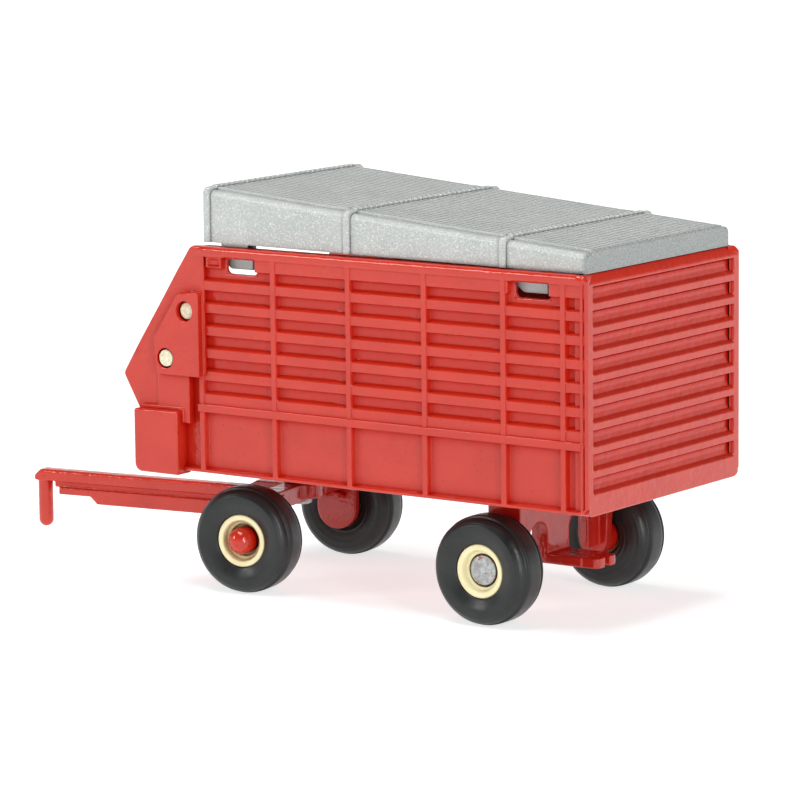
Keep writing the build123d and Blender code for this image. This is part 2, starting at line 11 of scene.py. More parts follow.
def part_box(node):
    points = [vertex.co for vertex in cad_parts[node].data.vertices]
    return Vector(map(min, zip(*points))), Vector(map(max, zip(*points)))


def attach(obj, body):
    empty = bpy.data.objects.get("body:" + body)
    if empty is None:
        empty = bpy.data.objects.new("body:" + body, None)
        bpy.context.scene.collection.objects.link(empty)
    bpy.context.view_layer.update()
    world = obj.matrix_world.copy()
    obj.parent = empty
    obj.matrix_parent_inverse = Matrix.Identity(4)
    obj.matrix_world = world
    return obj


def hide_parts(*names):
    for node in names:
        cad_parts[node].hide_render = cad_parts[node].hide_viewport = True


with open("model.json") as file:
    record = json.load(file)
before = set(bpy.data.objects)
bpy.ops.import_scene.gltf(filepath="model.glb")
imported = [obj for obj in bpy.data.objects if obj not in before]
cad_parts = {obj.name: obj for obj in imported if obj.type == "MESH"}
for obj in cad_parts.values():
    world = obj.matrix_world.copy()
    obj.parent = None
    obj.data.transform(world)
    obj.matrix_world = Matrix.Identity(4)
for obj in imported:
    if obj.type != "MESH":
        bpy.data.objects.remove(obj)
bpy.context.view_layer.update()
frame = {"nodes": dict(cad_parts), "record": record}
MM = 0.001

# ---- places from the frame, in millimetres


def node_box(node):
    """Lowest and highest corners of a CAD node, in millimetres."""
    low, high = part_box(node)
    return [c / MM for c in low], [c / MM for c in high]


def joint(name):
    """A joint of the record by its name."""
    return next(j for j in frame["record"]["behaviour"]["joints"] if j["name"] == name)


def joint_at(name):
    """A joint's point, in millimetres."""
    return Vector(joint(name)["pos_m"]) / MM


WALL_LOW, WALL_HIGH = node_box("left_side_wall")
REAR_LOW, REAR_HIGH = node_box("rear_wall")
ROOF_LOW, ROOF_HIGH = node_box("roof_shell")
COVER_OUT = node_box("left_drive_cover")[1][1]
HOUSING_OUT = node_box("left_conveyor_housing")[1][1]
REAR_X = WALL_LOW[0]
PIVOT = joint_at("steer")
AXLE_DIRECTION = Vector(joint("front_left_roll")["axis"])
STEER = math.atan2(-AXLE_DIRECTION.x, AXLE_DIRECTION.y)
UPPER_BEATER = joint_at("upper_beater_spin")
LOWER_BEATER = joint_at("lower_beater_spin")
REAR_LEFT = joint_at("rear_left_roll")

# ---- camera

CAMERA_PLACE = (-0.34612, 0.47369, 0.11809)
CAMERA_HEADING = math.radians(-54.537)
CAMERA_TILT = math.radians(-9.011)
CAMERA_ROLL = math.radians(-0.632)
CAMERA_LENS = 192.48


def make_camera():
    """The camera: a long lens behind the wagon's left side, slightly above it."""
    ahead = Vector((math.cos(CAMERA_HEADING), math.sin(CAMERA_HEADING), 0)) * math.cos(CAMERA_TILT)
    ahead.z = math.sin(CAMERA_TILT)
    level = Vector((math.sin(CAMERA_HEADING), -math.cos(CAMERA_HEADING), 0))
    over = level.cross(ahead)
    right = math.cos(CAMERA_ROLL) * level + math.sin(CAMERA_ROLL) * over
    up = -math.sin(CAMERA_ROLL) * level + math.cos(CAMERA_ROLL) * over
    data = bpy.data.cameras.new("camera")
    data.lens = CAMERA_LENS
    data.sensor_width = 36
    data.clip_start = 0.01
    camera = bpy.data.objects.new("camera", data)
    turn = Matrix((right, up, -ahead)).transposed()
    camera.matrix_world = Matrix.Translation(CAMERA_PLACE) @ turn.to_4x4()
    bpy.context.collection.objects.link(camera)
    bpy.context.scene.camera = camera


# ---- light and floor


def area_light(name, direction, distance, width, height, watts):
    """A soft box that faces the wagon from a direction."""
    data = bpy.data.lights.new(name, "AREA")
    data.shape = "RECTANGLE"
    data.size = width
    data.size_y = height
    data.energy = watts
    light = bpy.data.objects.new(name, data)
    place = Vector(direction).normalized() * distance
    light.location = place + Vector((0, 0, 0.03))
    light.rotation_euler = (-place).to_track_quat("-Z", "Y").to_euler()
    bpy.context.collection.objects.link(light)


def make_world():
    """A dim room with a white sweep up to a little above the horizon."""
    world = bpy.data.worlds.new("studio")
    world.use_nodes = True
    bpy.context.scene.world = world
    nodes, links = world.node_tree.nodes, world.node_tree.links
    nodes.clear()
    place = nodes.new("ShaderNodeTexCoord")
    split = nodes.new("ShaderNodeSeparateXYZ")
    ramp = nodes.new("ShaderNodeValToRGB")
    back = nodes.new("ShaderNodeBackground")
    out = nodes.new("ShaderNodeOutputWorld")
    ramp.color_ramp.elements[0].position = 0.08
    ramp.color_ramp.elements[0].color = (1.0, 1.0, 1.0, 1)
    ramp.color_ramp.elements[1].position = 0.46
    ramp.color_ramp.elements[1].color = (0.09, 0.09, 0.09, 1)
    back.inputs["Strength"].default_value = 1.0
    links.new(place.outputs["Generated"], split.inputs[0])
    links.new(split.outputs["Z"], ramp.inputs[0])
    links.new(ramp.outputs["Color"], back.inputs["Color"])
    links.new(back.outputs[0], out.inputs[0])


def make_floor():
    """A pale floor that glows as painted light, less near the wagon and more further out; its slight cyan
    tint offsets the red light bounced from the wagon.
    """
    mesh = bpy.data.meshes.new("floor")
    reach = 8
    corners = [(-reach, -reach, 0), (reach, -reach, 0), (reach, reach, 0), (-reach, reach, 0)]
    mesh.from_pydata(corners, [], [(0, 1, 2, 3)])
    floor = bpy.data.objects.new("floor", mesh)
    bpy.context.collection.objects.link(floor)
    material = bpy.data.materials.new("floor")
    material.use_nodes = True
    nodes, links = material.node_tree.nodes, material.node_tree.links
    shader = nodes["Principled BSDF"]
    shader.inputs["Base Color"].default_value = (0.52, 0.56, 0.56, 1)
    shader.inputs["Roughness"].default_value = 1.0
    shader.inputs["Specular IOR Level"].default_value = 0.0
    shader.inputs["Emission Color"].default_value = (1.0, 1.0, 1.0, 1)
    place = nodes.new("ShaderNodeTexCoord")
    reach_out = nodes.new("ShaderNodeVectorMath")
    reach_out.operation = "LENGTH"
    # painted light: the floor's own glow, dimmer near the wagon so that shadows stay, brighter further out
    glow = nodes.new("ShaderNodeMapRange")
    glow.interpolation_type = "SMOOTHSTEP"
    glow.inputs["From Min"].default_value = 0.2
    glow.inputs["From Max"].default_value = 0.8
    glow.inputs["To Min"].default_value = 0.70
    glow.inputs["To Max"].default_value = 1.1
    links.new(place.outputs["Object"], reach_out.inputs[0])
    links.new(reach_out.outputs["Value"], glow.inputs["Value"])
    links.new(glow.outputs[0], shader.inputs["Emission Strength"])
    mesh.materials.append(material)


make_camera()
make_world()
make_floor()
area_light("key_box", (0.56, 0.68, 0.47), 1.3, 0.3, 0.42, 3.4)
area_light("side_strip", (-0.79, 0.442, 0.25), 1.3, 0.14, 0.9, 6.2)
area_light("top_box", (0.05, 0.1, 1.0), 1.2, 0.7, 0.7, 13.0)

# ---- materials


class Nodes:
    """Short ways to add and join shader nodes of one material."""

    def __init__(self, name):
        self.material = bpy.data.materials.new(name)
        self.material.use_nodes = True
        self.tree = self.material.node_tree
        self.shader = self.tree.nodes["Principled BSDF"]
        self.place = self.add("ShaderNodeTexCoord").outputs["Object"]

    def add(self, kind, **settings):
        node = self.tree.nodes.new(kind)
        for key, value in settings.items():
            setattr(node, key, value)
        return node

    def link(self, output, socket):
        self.tree.links.new(output, socket)

    def noise(self, scale, detail=2.0, roughness=0.5, stretch=None):
        """A noise value; scale is in cells a metre."""
        node = self.add("ShaderNodeTexNoise")
        node.inputs["Scale"].default_value = scale
        node.inputs["Detail"].default_value = detail
        node.inputs["Roughness"].default_value = roughness
        place = self.place
        if stretch:
            mapping = self.add("ShaderNodeMapping")
            mapping.inputs["Scale"].default_value = stretch
            self.link(place, mapping.inputs["Vector"])
            place = mapping.outputs["Vector"]
        self.link(place, node.inputs["Vector"])
        return node.outputs[0]

    def ramp(self, value, stops):
        """A colour ramp through (position, colour) stops."""
        node = self.add("ShaderNodeValToRGB")
        while len(node.color_ramp.elements) < len(stops):
            node.color_ramp.elements.new(0.5)
        for element, (position, colour) in zip(node.color_ramp.elements, stops):
            element.position = position
            element.color = (*colour, 1)
        self.link(value, node.inputs[0])
        return node.outputs[0]

    def grey(self, value, low, high, dark, light):
        """A value between dark and light as the input goes from low to high."""
        node = self.add("ShaderNodeMapRange")
        for socket, number in (("From Min", low), ("From Max", high), ("To Min", dark), ("To Max", light)):
            node.inputs[socket].default_value = number
        self.link(value, node.inputs["Value"])
        return node.outputs[0]

    def mix(self, share, first, second):
        """Two colours mixed by a share; each is an output or three numbers."""
        node = self.add("ShaderNodeMix", data_type="RGBA")
        self.link(share, node.inputs["Factor"])
        for socket, colour in ((node.inputs["A"], first), (node.inputs["B"], second)):
            colour_socket = [s for s in node.inputs if s.name == socket.name and s.type == "RGBA"][0]
            if isinstance(colour, tuple):
                colour_socket.default_value = (*colour, 1)
            else:
                self.link(colour, colour_socket)
        return [s for s in node.outputs if s.type == "RGBA"][0]

    def bump(self, height, distance, strength=1.0, after=None):
        """A bump from a height, in metres."""
        node = self.add("ShaderNodeBump")
        node.inputs["Distance"].default_value = distance
        node.inputs["Strength"].default_value = strength
        self.link(height, node.inputs["Height"])
        if after:
            self.link(after, node.inputs["Normal"])
        return node.outputs[0]

    def crevice(self, distance, low, high):
        """From 0 deep in a corner to 1 in the open; distance is in metres."""
        node = self.add("ShaderNodeAmbientOcclusion", samples=6)
        node.inputs["Distance"].default_value = distance
        return self.grey(node.outputs["AO"], low, high, 0, 1)

    def set(self, **values):
        """Values or links on the shader's sockets."""
        names = {
            "colour": "Base Color",
            "rough": "Roughness",
            "metal": "Metallic",
            "normal": "Normal",
            "coat": "Coat Weight",
            "coat_rough": "Coat Roughness",
            "coat_normal": "Coat Normal",
            "specular": "Specular IOR Level",
            "ior": "IOR",
            "sss": "Subsurface Weight",
            "sss_scale": "Subsurface Scale",
        }
        for key, value in values.items():
            socket = self.shader.inputs[names[key]]
            if isinstance(value, tuple):
                socket.default_value = (*value, 1)
            elif isinstance(value, (int, float)):
                socket.default_value = value
            else:
                self.link(value, socket)


def red_paint(name="red_enamel", first_red=(0.50, 0.022, 0.008), second_red=(0.56, 0.027, 0.010)):
    """Thick glossy red enamel: orange peel and a few pits; painted shade in corners and creases, where the
    red is deeper and darker and the coat thinner, so duller.
    """
    m = Nodes(name)
    broad = m.noise(180, 2)
    peel = m.noise(1500, 2)
    pits = m.noise(2600, 1)
    colour = m.mix(m.grey(broad, 0.3, 0.7, 0, 1), first_red, second_red)
    pit = m.grey(pits, 0.27, 0.22, 0, 1)
    colour = m.mix(pit, colour, (0.30, 0.010, 0.006))
    # painted shade: the red turns deeper and darker in corners and creases, and the coat thins there
    open_ = m.crevice(0.0016, 0.50, 0.90)
    colour = m.mix(open_, (0.48, 0.009, 0.003), colour)
    # painted shade: near-black red deep in the tightest inner corners
    colour = m.mix(m.crevice(0.0006, 0.25, 0.55), (0.14, 0.003, 0.002), colour)
    first = m.bump(m.noise(700, 2), 0.00014, 0.55, m.bump(peel, 0.00008, 0.6))
    second = m.bump(m.grey(pits, 0.29, 0.22, 0, -1), 0.00008, 0.6, first)
    coat = m.grey(open_, 0.1, 1, 0.0, 1.0)
    m.set(colour=colour, rough=0.38, specular=0.05, normal=second)
    m.set(coat=coat, coat_rough=0.06, coat_normal=first)
    return m.material


def roof_plastic():
    """Silver-grey plastic with a fine metallic speckle; painted shade in the corrugations and on the rear end
    face.
    """
    m = Nodes("roof_plastic")
    speck = m.noise(5600, 2, 0.7)
    cloud = m.noise(150, 2)
    base = m.mix(m.grey(cloud, 0.3, 0.7, 0, 1), (0.42, 0.445, 0.425), (0.48, 0.50, 0.48))
    colour = m.mix(m.grey(speck, 0.54, 0.70, 0, 0.8), base, (0.88, 0.90, 0.88))
    colour = m.mix(m.grey(speck, 0.42, 0.30, 0, 0.35), colour, (0.26, 0.28, 0.275))
    # painted shade: darker in the corrugation valleys and other crevices
    colour = m.mix(m.crevice(0.0008, 0.50, 0.95), (0.05, 0.06, 0.065), colour)
    # painted shade: the roof's rear end face, which faces away from the light, is painted darker
    across = m.add("ShaderNodeSeparateXYZ")
    m.link(m.place, across.inputs[0])
    rear_shade_mask = m.grey(across.outputs["X"], ROOF_LOW[0] * MM + 0.0001, ROOF_LOW[0] * MM + 0.0007, 1, 0)
    rear_shade_colour = m.mix(m.grey(speck, 0.4, 0.7, 0, 1), (0.22, 0.235, 0.23), (0.42, 0.44, 0.43))
    colour = m.mix(rear_shade_mask, colour, rear_shade_colour)
    m.set(colour=colour, rough=0.3, normal=m.bump(speck, 0.00004, 0.45), specular=0.5)
    return m.material


def rim_plastic():
    """Cream gloss plastic, with painted shade in its crevices."""
    m = Nodes("rim_plastic")
    cloud = m.noise(600, 2)
    colour = m.mix(m.grey(cloud, 0.3, 0.7, 0, 1), (0.82, 0.73, 0.42), (0.88, 0.80, 0.50))
    # painted shade: darker in the rim's crevices
    colour = m.mix(m.crevice(0.0012, 0.35, 0.85), (0.42, 0.33, 0.14), colour)
    m.set(colour=colour, rough=0.35, normal=m.bump(m.noise(1800, 2), 0.00004, 0.4), specular=0.5)
    return m.material


def tyre_rubber():
    """Smooth black rubber, semi-matt, with a dusty bloom in patches and painted shade in its crevices."""
    m = Nodes("tyre_rubber")
    cloud = m.noise(260, 4, 0.6)
    colour = m.mix(m.grey(cloud, 0.35, 0.7, 0, 1), (0.009, 0.010, 0.0103), (0.019, 0.020, 0.020))
    # painted shade: near-black in the tyre's grooves and corners
    colour = m.mix(m.crevice(0.0008, 0.3, 0.8), (0.002, 0.002, 0.002), colour)
    rough = m.grey(m.noise(900, 3), 0.3, 0.7, 0.28, 0.42)
    m.set(colour=colour, rough=rough, normal=m.bump(m.noise(2500, 3), 0.00004, 0.4), specular=0.42)
    return m.material


def bare_zinc():
    """Peened bare zinc with red paint left in the low spots, and painted shade in its crevices."""
    m = Nodes("bare_zinc")
    marks = m.noise(1600, 3, 0.6)
    left = m.noise(1500, 3, 0.6)
    colour = m.mix(m.grey(marks, 0.35, 0.65, 0, 1), (0.30, 0.31, 0.31), (0.52, 0.54, 0.54))
    colour = m.mix(m.grey(left, 0.60, 0.68, 0, 0.8), colour, (0.42, 0.05, 0.05))
    # painted shade: darker in the crevices of the peened end
    colour = m.mix(m.crevice(0.0006, 0.4, 0.9), (0.10, 0.05, 0.05), colour)
    m.set(colour=colour, rough=0.42, metal=0.6, normal=m.bump(marks, 0.0001, 0.7))
    return m.material


def beater_plastic():
    """Cream plastic of the beaters."""
    m = Nodes("beater_plastic")
    marks = m.noise(1700, 3, 0.6)
    colour = m.mix(m.grey(marks, 0.35, 0.65, 0, 1), (0.66, 0.56, 0.33), (0.86, 0.82, 0.66))
    m.set(colour=colour, rough=0.4, normal=m.bump(marks, 0.00008, 0.5), specular=0.5)
    return m.material


FINISH = {
    "red_paint": red_paint(),
    "roof_plastic": roof_plastic(),
    "rim_plastic": rim_plastic(),
    "tyre_rubber": tyre_rubber(),
    "bare_zinc": bare_zinc(),
    "beater_plastic": beater_plastic(),
}
# a darker copy of the red enamel: painted shade for the axle castings under the box
SHADED_UNDERSIDE_RED = red_paint("red_enamel_painted_shade", (0.34, 0.012, 0.007), (0.43, 0.018, 0.010))
NODE_SLOT = {part["node"]: part["material_slot"] for part in frame["record"]["subparts"]}
for node_name, node_object in frame["nodes"].items():
    node_object.data.materials.clear()
    node_object.data.materials.append(FINISH[NODE_SLOT[node_name]])

# ---- mesh tools


def new_piece(name, mesh, body, node, finish, sharp=40.0, look=None):
    """A finished piece: smooth shading, its body, the CAD node it stands for and its finish."""
    mesh.materials.append(look or FINISH[finish])
    mesh.shade_smooth()
    mesh.set_sharp_from_angle(angle=math.radians(sharp))
    for face in mesh.polygons:
        if max(abs(c) for c in face.normal) > 0.99995:
            face.use_smooth = False
    piece = bpy.data.objects.new(name, mesh)
    bpy.context.collection.objects.link(piece)
    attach(piece, body)
    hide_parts(node)
    return piece


def mesh_from(name, points, faces):
    """A mesh in metres from points in millimetres, with double points joined and faces turned outward."""
    mesh = bpy.data.meshes.new(name)
    mesh.from_pydata([tuple(float(c) * MM for c in p) for p in points], [], faces)
    work = bmesh.new()
    work.from_mesh(mesh)
    bmesh.ops.remove_doubles(work, verts=work.verts, dist=1e-7)
    bmesh.ops.recalc_face_normals(work, faces=work.faces)
    work.to_mesh(mesh)
    work.free()
    return mesh


def join(name, meshes):
    """Several meshes as one."""
    work = bmesh.new()
    for mesh in meshes:
        work.from_mesh(mesh)
    joined = bpy.data.meshes.new(name)
    work.to_mesh(joined)
    work.free()
    return joined


def rise(at, edge, half):
    """A rounded step from 0 to 1, from edge - half to edge + half."""
    share = np.clip((at - edge) / half, -1, 1)
    return 0.5 + 0.5 * np.sin(share * math.pi / 2)


def band(at, low, high, half_low, half_high):
    """A rounded ridge from 0 to 1 and back."""
    return rise(at, low, half_low) * (1 - rise(at, high, half_high))


GRID_SHARES = (-1.25, -1, -0.5, 0, 0.5, 1, 1.25)
CLOSEST_LINES = 0.025


def quarter(*degrees):
    """For each angle round a rounded edge: how far it has fallen away, and how far it has run along."""
    turns = [math.radians(angle) for angle in degrees]
    return [(1 - math.cos(turn), math.sin(turn)) for turn in turns]


def grid_lines(edges, low, high, gap):
    """Grid lines from low to high: close together at each (edge, half), evenly spread elsewhere."""
    marks = [low, high]
    for edge, half in edges:
        marks += [edge + half * share for share in GRID_SHARES]
    marks = sorted(mark for mark in marks if low <= mark <= high)
    lines = [marks[0]]
    for mark in marks[1:]:
        if mark - lines[-1] < CLOSEST_LINES and mark != high:
            continue
        count = max(1, math.ceil((mark - lines[-1]) / gap))
        start = lines[-1]
        lines += [start + (mark - start) * (i + 1) / count for i in range(count)]
    return np.array(lines)


def relief(points, keep, back):
    """Points and faces of a solid between a grid (columns, rows, 3) and a back of the same shape."""
    columns, rows = points.shape[:2]
    size = columns * rows
    faces = []
    uses = {}

    def at(i, j):
        return i * rows + j

    for i in range(columns - 1):
        for j in range(rows - 1):
            if not keep[i, j]:
                continue
            loop = (at(i, j), at(i + 1, j), at(i + 1, j + 1), at(i, j + 1))
            faces.append(loop)
            faces.append(tuple(size + v for v in reversed(loop)))
            for a, b in zip(loop, loop[1:] + loop[:1]):
                uses[(min(a, b), max(a, b))] = uses.get((min(a, b), max(a, b)), []) + [(a, b)]
    for ways in uses.values():
        if len(ways) == 1:
            a, b = ways[0]
            faces.append((b, a, size + a, size + b))
    every = np.concatenate((points.reshape(-1, 3), back.reshape(-1, 3)))
    used = sorted({v for face in faces for v in face})
    number = {v: n for n, v in enumerate(used)}
    return every[used], [tuple(number[v] for v in face) for face in faces]


def rounded_outline(corners, radii, turns=6):
    """Points of a polygon with each corner rounded by its own radius."""
    points = []
    count = len(corners)
    for index in range(count):
        here = Vector(corners[index])
        before = (Vector(corners[index - 1]) - here).normalized()
        after = (Vector(corners[(index + 1) % count]) - here).normalized()
        radius = radii[index]
        if radius <= 0:
            points.append(here)
            continue
        half = before.angle(after) / 2
        middle = here + (before + after).normalized() * radius / math.sin(half)
        start = here + before * radius / math.tan(half) - middle
        stop = here + after * radius / math.tan(half) - middle
        sweep = start.angle_signed(stop)
        for step in range(turns + 1):
            angle = -sweep * step / turns
            spun = Vector((
                start.x * math.cos(angle) - start.y * math.sin(angle),
                start.x * math.sin(angle) + start.y * math.cos(angle),
            ))
            points.append(middle + spun)
    return points


def outline_at(corners, radii, offset):
    """A rounded polygon moved outward by an offset; convex corners grow rounder and hollow ones sharper."""
    points = [Vector(c) for c in corners]
    count = len(points)
    area = sum(points[i - 1].x * points[i].y - points[i].x * points[i - 1].y for i in range(count))
    turn = 1 if area > 0 else -1
    moved, rounds = [], []
    for index, here in enumerate(points):
        before = (here - points[index - 1]).normalized()
        after = (points[(index + 1) % count] - here).normalized()
        first = Vector((before.y, -before.x)) * turn
        second = Vector((after.y, -after.x)) * turn
        moved.append(here + (first + second) * offset / (1 + first.dot(second)))
        convex = (before.x * after.y - before.y * after.x) * turn > 0
        rounds.append(max(0.01, radii[index] + (offset if convex else -offset)))
    return rounded_outline(moved, rounds)


def cap(loops):
    """Triangles that fill an outline and leave its holes open, as indices along the loops in order."""
    points = [Vector(p) for loop in loops for p in loop]
    edges, first = [], 0
    owner = []
    for number, loop in enumerate(loops):
        count = len(loop)
        edges += [(first + i, first + (i + 1) % count) for i in range(count)]
        owner += [number] * count
        first += count
    found = delaunay_2d_cdt(points, edges, [], 1, 1e-6)
    source = [origin[0] for origin in found[3]]
    triangles = []
    for face in found[2]:
        corners = tuple(source[v] for v in face)
        owners = {owner[v] for v in corners}
        if len(owners) == 1 and owners != {0}:
            continue
        triangles.append(corners)
    return triangles


def plate(name, corners, radii, rings, mirror=1, holes=()):
    """A plate in the X-Z plane from rings of (outward offset, y), with round holes (x, z, radius, lip)."""
    points, faces = [], []

    def ring_walls(loops):
        start = len(points)
        count = len(loops[0])
        for loop in loops:
            points.extend(loop)
        for ring in range(len(loops) - 1):
            for index in range(count):
                a = start + ring * count + index
                b = start + ring * count + (index + 1) % count
                faces.append((a, b, b + count, a + count))

    low, high = rings[0][1], rings[-1][1]
    loops = [[(p.x + REAR_X, y, p.y) for p in outline_at(corners, radii, offset)] for offset, y in rings]
    ring_walls(loops)
    ends = [[loops[0]], [loops[-1]]]
    for x, z, radius, lip in holes:
        turns = [2 * math.pi * i / 48 for i in range(48)]
        steps = [(radius, low), (radius, high - lip)]
        steps += [(radius + lip * 0.3, high - lip * 0.3), (radius + lip, high)]
        rounds = [[(x + r * math.cos(t), y, z + r * math.sin(t)) for t in turns] for r, y in steps]
        ring_walls(rounds)
        ends[0].append(rounds[0])
        ends[1].append(rounds[-1])
    for end in ends:
        start = len(points)
        for loop in end:
            points.extend(loop)
        flat = [[(x, z) for x, y, z in loop] for loop in end]
        faces += [tuple(start + v for v in face) for face in cap(flat)]
    return mesh_from(name, [(x, y * mirror, z) for x, y, z in points], faces)


def soft_rings(y_low, y_high, top_radius, foot=0.0, hold=0.07):
    """Rings for a plate with a rounded outer edge and, if asked, a flared foot."""
    rings = []
    if foot:
        rings += [(foot, y_low - 0.05), (foot, y_low), (foot * 0.45, y_low + foot * 0.2)]
        rings += [(foot * 0.1, y_low + foot * 0.6), (0.0, y_low + foot * 1.1)]
    else:
        rings.append((0.0, y_low))
    for away, along in quarter(0, 18, 36, 54, 72, 90):
        rings.append((-top_radius * away, y_high - top_radius * (1 - along)))
    rings.append((-top_radius - hold, y_high))
    return rings


def lathe(name, profile, segments=96):
    """A solid turned about Y from (axial, radius) points: a ring, or closed where they start on the axis."""
    points, faces = [], []
    count = len(profile)
    for index in range(segments):
        turn = 2 * math.pi * index / segments
        points += [(r * math.cos(turn), a, r * math.sin(turn)) for a, r in profile]
    closed = profile[0][1] > 0.001
    for index in range(segments):
        here, there = index * count, (index + 1) % segments * count
        for k in range(count if closed else count - 1):
            n = (k + 1) % count
            faces.append((here + k, here + n, there + n, there + k))
    return mesh_from(name, points, faces)


def rounded_profile(corners, radii, turns=4):
    """(axial, radius) points with rounded corners."""
    return [(p.x, p.y) for p in rounded_outline([Vector(c) for c in corners], radii, turns)]


def placed(mesh, centre, turn=0.0):
    """The mesh turned about Z and moved, in millimetres."""
    mesh.transform(Matrix.Translation(Vector(centre) * MM) @ Matrix.Rotation(turn, 4, "Z"))
    return mesh


def cast_skin(node, voxel, rounds, name):
    """The CAD node's shape as a thick-painted casting: remeshed and smoothed, so that edges are round."""
    mesh = frame["nodes"][node].data.copy()
    mesh.name = name
    mesh.transform(Matrix.Scale(1 / MM, 4))
    carrier = bpy.data.objects.new(name, mesh)
    bpy.context.collection.objects.link(carrier)
    work = bmesh.new()
    work.from_mesh(mesh)
    bmesh.ops.remove_doubles(work, verts=work.verts, dist=1e-4)
    work.to_mesh(mesh)
    work.free()
    remesh = carrier.modifiers.new("skin", "REMESH")
    remesh.mode = "VOXEL"
    remesh.voxel_size = voxel
    smooth = carrier.modifiers.new("round", "SMOOTH")
    smooth.factor = 0.5
    smooth.iterations = rounds
    thin = carrier.modifiers.new("thin", "DECIMATE")
    thin.decimate_type = "COLLAPSE"
    thin.ratio = 0.35
    shown = carrier.evaluated_get(bpy.context.evaluated_depsgraph_get())
    made = bpy.data.meshes.new_from_object(shown)
    bpy.data.objects.remove(carrier)
    made.name = name
    made.materials.clear()
    made.transform(Matrix.Scale(MM, 4))
    return made


# ---- side walls

SHEET_Y = 18.18
POST = WALL_HIGH[1] - 0.2 - SHEET_Y
SLAT = POST - 0.15
RAIL = WALL_HIGH[1] - SHEET_Y
WALL_TOP = WALL_HIGH[2]
WALL_FOOT = WALL_LOW[2]
POST_REAR_EDGES = (62.15, 49.80, 37.33, 25.02, 12.49, 3.20)
POST_WIDTH = 1.0
SLAT_PITCH = 3.114
SLAT_HEIGHT = 1.55
BELT = (25.1, 26.36)
TOP_SLAT = 44.9
TOP_RAIL = 46.5
WINDOWS = ((53.45, 58.65), (5.95, 11.55))
WINDOW_SHEET = 0.55
WINDOW_MARGIN = 0.8
WINDOW_FOOT = 44.4
WINDOW_ROUND = 0.75
CORNER_ROUND = 0.35
EDGE_ROUND = 0.55
SLOPE_FOOT = 46.85
SLOPE = 0.87
TOP_FLANK = 0.25
LOW_FLANK = 0.12
POST_FLANK = 0.15
WING_JOIN = 64.0
WING_FOOT = 30.2
LOW_SHEET_FRONT = 66.4
CORNER_WIDTH = 1.17
FOOT_BAND = 17.3
FOOT_ROUND = 0.2
FOOT_LIFT = 0.9
BELT_FRONT = (63.5, 0.35)
RAIL_NARROWS = (62.6, 0.7)
BLOCK = (59.0, 61.75)
BLOCK_FOOT = 45.05
POCKET_X = (59.45, 61.3)
POCKET_Z = (45.4, 46.3)
WING_BACK_START = 62.7
WING_BACK_STEP = 0.75
REAR_SEAM = 18.55
BORE = 1.225
SIDES = (("left", 1), ("right", -1))


def slat_bottoms():
    """Lower edges of the slats above the belt rail."""
    return [BELT[1] + index * SLAT_PITCH for index in range(6)]


def side_height(x, z):
    """Height of the side wall's outer face above its sheet, at x from the rear face and z."""
    slats = np.zeros(np.broadcast(x, z).shape)
    for bottom in slat_bottoms():
        foot = bottom if bottom > BELT[1] + 0.5 else bottom - 0.6
        slats = np.maximum(slats, SLAT * band(z, foot, bottom + SLAT_HEIGHT, LOW_FLANK, TOP_FLANK))
    top = SLAT * rise(z, TOP_SLAT, LOW_FLANK) + 0 * x
    for low, high in WINDOWS:
        top = top * (1 - band(x, high - 0.4, high + 0.65, 0.1, 0.12))
    front_gap = band(x, WINDOWS[0][1] + 0.3, POST_REAR_EDGES[0], 0.1, 0.1)
    block = band(x, *BLOCK, 0.12, 0.12) * rise(z, BLOCK_FOOT, 0.12)
    pocket = band(x, *POCKET_X, 0.14, 0.14) * band(z, *POCKET_Z, 0.14, 0.14)
    top = top * (1 - front_gap) + SLAT * front_gap * (block - 0.4 * pocket)
    height = np.maximum(slats, top) * (1 - rise(x, POST_REAR_EDGES[0] + 0.5, 0.1)) + 0 * z
    for rear in POST_REAR_EDGES:
        front = rear + POST_WIDTH
        height = np.maximum(height, POST * band(x, rear, front, POST_FLANK, POST_FLANK) + 0 * z)
        reach = np.clip((rear - x) / 0.8, 0, 1) + np.clip((x - front) / 0.8, 0, 1)
        height = np.maximum(height, 0.1 * (1 - np.clip(reach, 0, 1)) ** 2 + 0 * z)
    corner = 1 - rise(x, CORNER_WIDTH, POST_FLANK)
    line = 0.22 * band(x, 0.42, 0.62, 0.08, 0.08)
    height = np.maximum(height, POST * corner - line + 0 * z)
    flush = rise(x, POST_REAR_EDGES[0], POST_FLANK) * rise(z, WING_FOOT, 0.1)
    height = np.maximum(height, POST * flush)
    height = np.maximum(height, POST * (1 - rise(z, FOOT_BAND, 0.15)) + 0 * x)
    belt_round = np.sqrt(np.clip(1 - ((z - (BELT[0] + BELT[1]) / 2) / 0.9) ** 2, 0, 1))
    belt = (POST + 0.17 * belt_round) * band(z, *BELT, 0.14, 0.14)
    belt = belt * rise(x, 0.8, 0.3) * (1 - rise(x, *BELT_FRONT))
    height = np.maximum(height, belt)
    rail_round = np.clip((z - TOP_RAIL) / 0.8, 0, 1)
    rail = (POST - 0.08 + 0.28 * np.sin(rail_round * math.pi / 2)) * rise(z, TOP_RAIL, 0.12)
    rail = rail - 0.2 * (1 - rise(x, 0.9, 0.35)) * rise(z, TOP_RAIL, 0.12) * 0.9
    rail = np.minimum(rail, RAIL - 0.2 * rise(x, *RAIL_NARROWS))
    height = np.maximum(height, rail)
    for low, high in WINDOWS:
        outside_x = np.maximum(low - x, x - high)
        outside_z = np.maximum(WINDOW_FOOT - z, z - TOP_RAIL - 0.1)
        away = np.clip(np.maximum(outside_x, outside_z) / 0.22, 0, 1)
        height = height - 0.16 * (1 - away) ** 2
    return height


